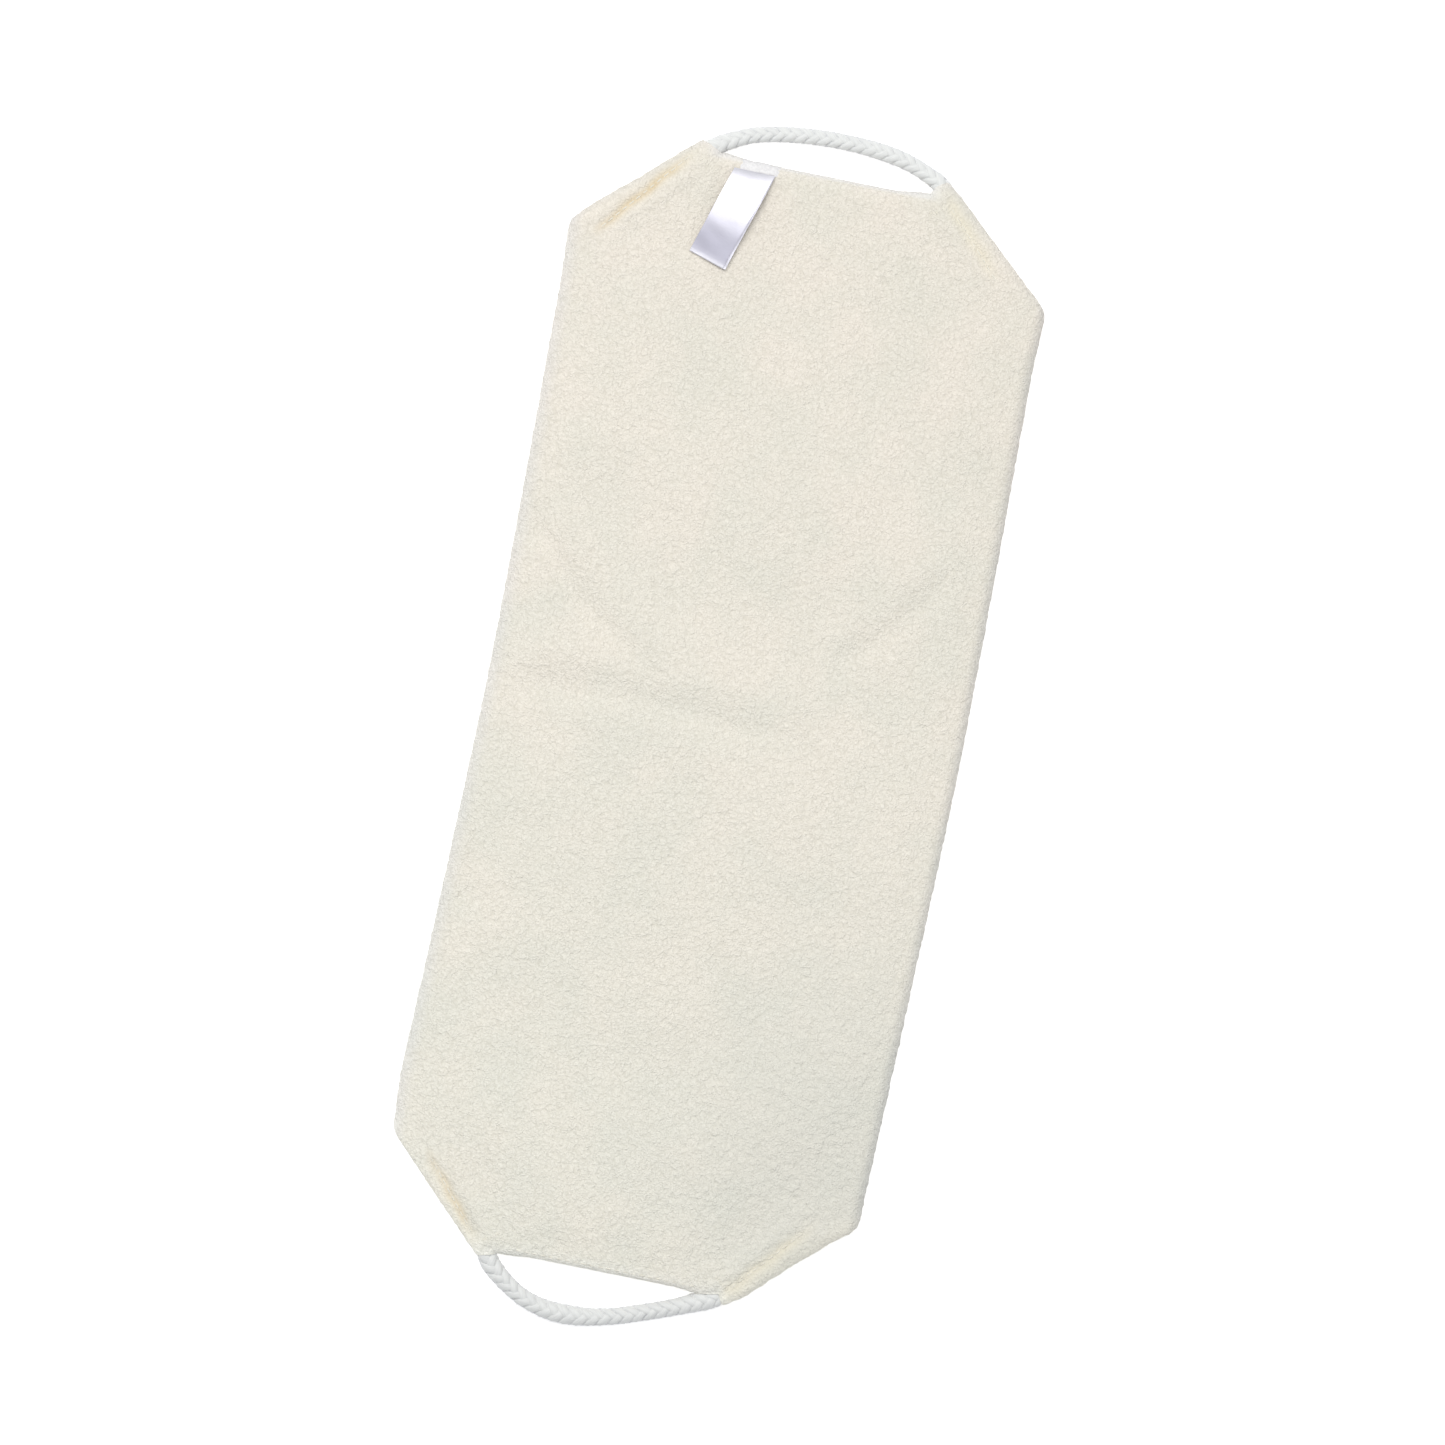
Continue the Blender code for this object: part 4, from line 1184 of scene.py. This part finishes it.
def make_label(material, surface_height):
    """The folded ribbon: its upper leaf, the fold at its free end, and the leaf below, as one strip."""
    away = np.array([-math.sin(LABEL_SKEW), -math.cos(LABEL_SKEW)])
    across = np.array([math.cos(LABEL_SKEW), -math.sin(LABEL_SKEW)])
    wide_steps, long_steps, fold_steps = 14, 46, 8
    share = np.linspace(0, 1, long_steps + 1)
    turns = np.pi * np.arange(1, fold_steps) / fold_steps
    s = np.concatenate([share, np.ones(len(turns)), share[::-1]])
    layer = np.concatenate([np.ones(len(share)), np.cos(turns), -np.ones(len(share))])
    bulge = np.concatenate([np.zeros(len(share)), np.sin(turns), np.zeros(len(share))])
    s, layer, bulge = (np.repeat(v[:, None], wide_steps + 1, axis=1) for v in (s, layer, bulge))
    w = np.broadcast_to(np.linspace(-1, 1, wide_steps + 1), s.shape)
    start = (0.6 + w * LABEL_WIDTH / 2 * across[1]) / math.cos(LABEL_SKEW)
    length = start * (1 - s) + (LABEL_LENGTH * s + bulge * LEAF) * s
    slip = np.where(layer < 0, 1.1 * s, 0.0) * (1 - bulge)  # the under leaf shows past the right edge
    offset = w * LABEL_WIDTH / 2 * (1.07 - 0.07 * s) + slip - 0.3
    x = LABEL_X + away[0] * length + across[0] * offset
    y = LABEL_Y + away[1] * length + across[1] * offset
    opened = LEAF * (0.55 + 1.1 * s * (1 - smooth_step((s - 0.8) / 0.2) * 0.5))
    cup = 0.10 * (w**2) * smooth_step(s / 0.4) - 0.30 * w * smooth_step((s - 0.3) / 0.7)
    base = float(surface_height(LABEL_X, LABEL_Y - 4)[0]) + LABEL_RISE
    points = np.stack([x, y, base + ribbon_line(s) + layer * opened - cup], -1).reshape(-1, 3)
    points[:, 2] += 0.10 * noise3(points, 5.0, 51)
    place = np.stack([np.cumsum(np.ones_like(s), 0) * 0.45, offset, np.zeros_like(s)], -1).reshape(-1, 3)
    points[:, 0] += bow(points[:, 1])
    # Painted shade: darker from halfway toward the free end and light again just at the fold; the leaf below
    # is shaded throughout.
    painted_ribbon_shade = smooth_step((s - 0.50) / 0.42) * (1 - 0.9 * smooth_step((s - 0.975) / 0.015))
    painted_ribbon_shade = np.where(layer > 0, painted_ribbon_shade, 0.65)
    fields = {"ribbon_place": place, "painted_ribbon_shade": painted_ribbon_shade.ravel()}
    obj = mesh_piece("satin_label", points, sheet_quads(*s.shape), material, fields=fields)
    hinge = world([(0, LABEL_Y + 1.0, 0), (0, LABEL_Y - 5.0, 0)])
    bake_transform(obj)
    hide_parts("label_ribbon")


def make_label_root(material, surface_height):
    """The ribbon's cut ends, crumpled under the hem's stitches."""
    u, v = np.meshgrid(np.linspace(-1, 1, 41), np.linspace(0, 1, 15), indexing="ij")
    x, y = LABEL_X + 0.8 + u * LABEL_HEM_HALF + v, LABEL_HEM_Y + v * LABEL_HEM_DEPTH
    flat = np.stack([x, y, np.zeros_like(u)], -1).reshape(-1, 3)
    edge = np.maximum(np.abs(u), np.abs(2 * v - 1)).ravel()
    z = surface_height(flat[:, 0], flat[:, 1]) + 0.45
    z += (0.28 * noise3(flat, 1.3, 61) + 0.22 * noise3(flat, 2.8, 62)) * (1 - 0.5 * edge)
    z -= 0.5 * smooth_step((edge - 0.8) / 0.2)
    shift_x, shift_y = (0.25 * noise3(flat, 2.0, seed) for seed in (63, 64))
    points = flat + np.column_stack([shift_x, shift_y, z])
    points[:, 0] += bow(points[:, 1])
    obj = mesh_piece("label_hem", points, sheet_quads(*u.shape), material)
    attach(obj, "pad_upper")
    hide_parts("label_root")


# ---------------------------------------------------------------- the scene

place_camera()
place_lights()
place_floor()
make_cords(cord_material())
make_foam(foam_material())
surface_height = make_terry(terry_material())
make_loofah(loofah_material("loofah_mat", (0.58, 0.44, 0.24), (0.68, 0.54, 0.32)))
make_fibres(loofah_material("loofah_fibre", (0.74, 0.60, 0.37), (0.84, 0.72, 0.49)))
make_all_stitching(thread_material(), surface_height)
make_label(satin_material(), surface_height)
make_label_root(satin_edge_material(), surface_height)
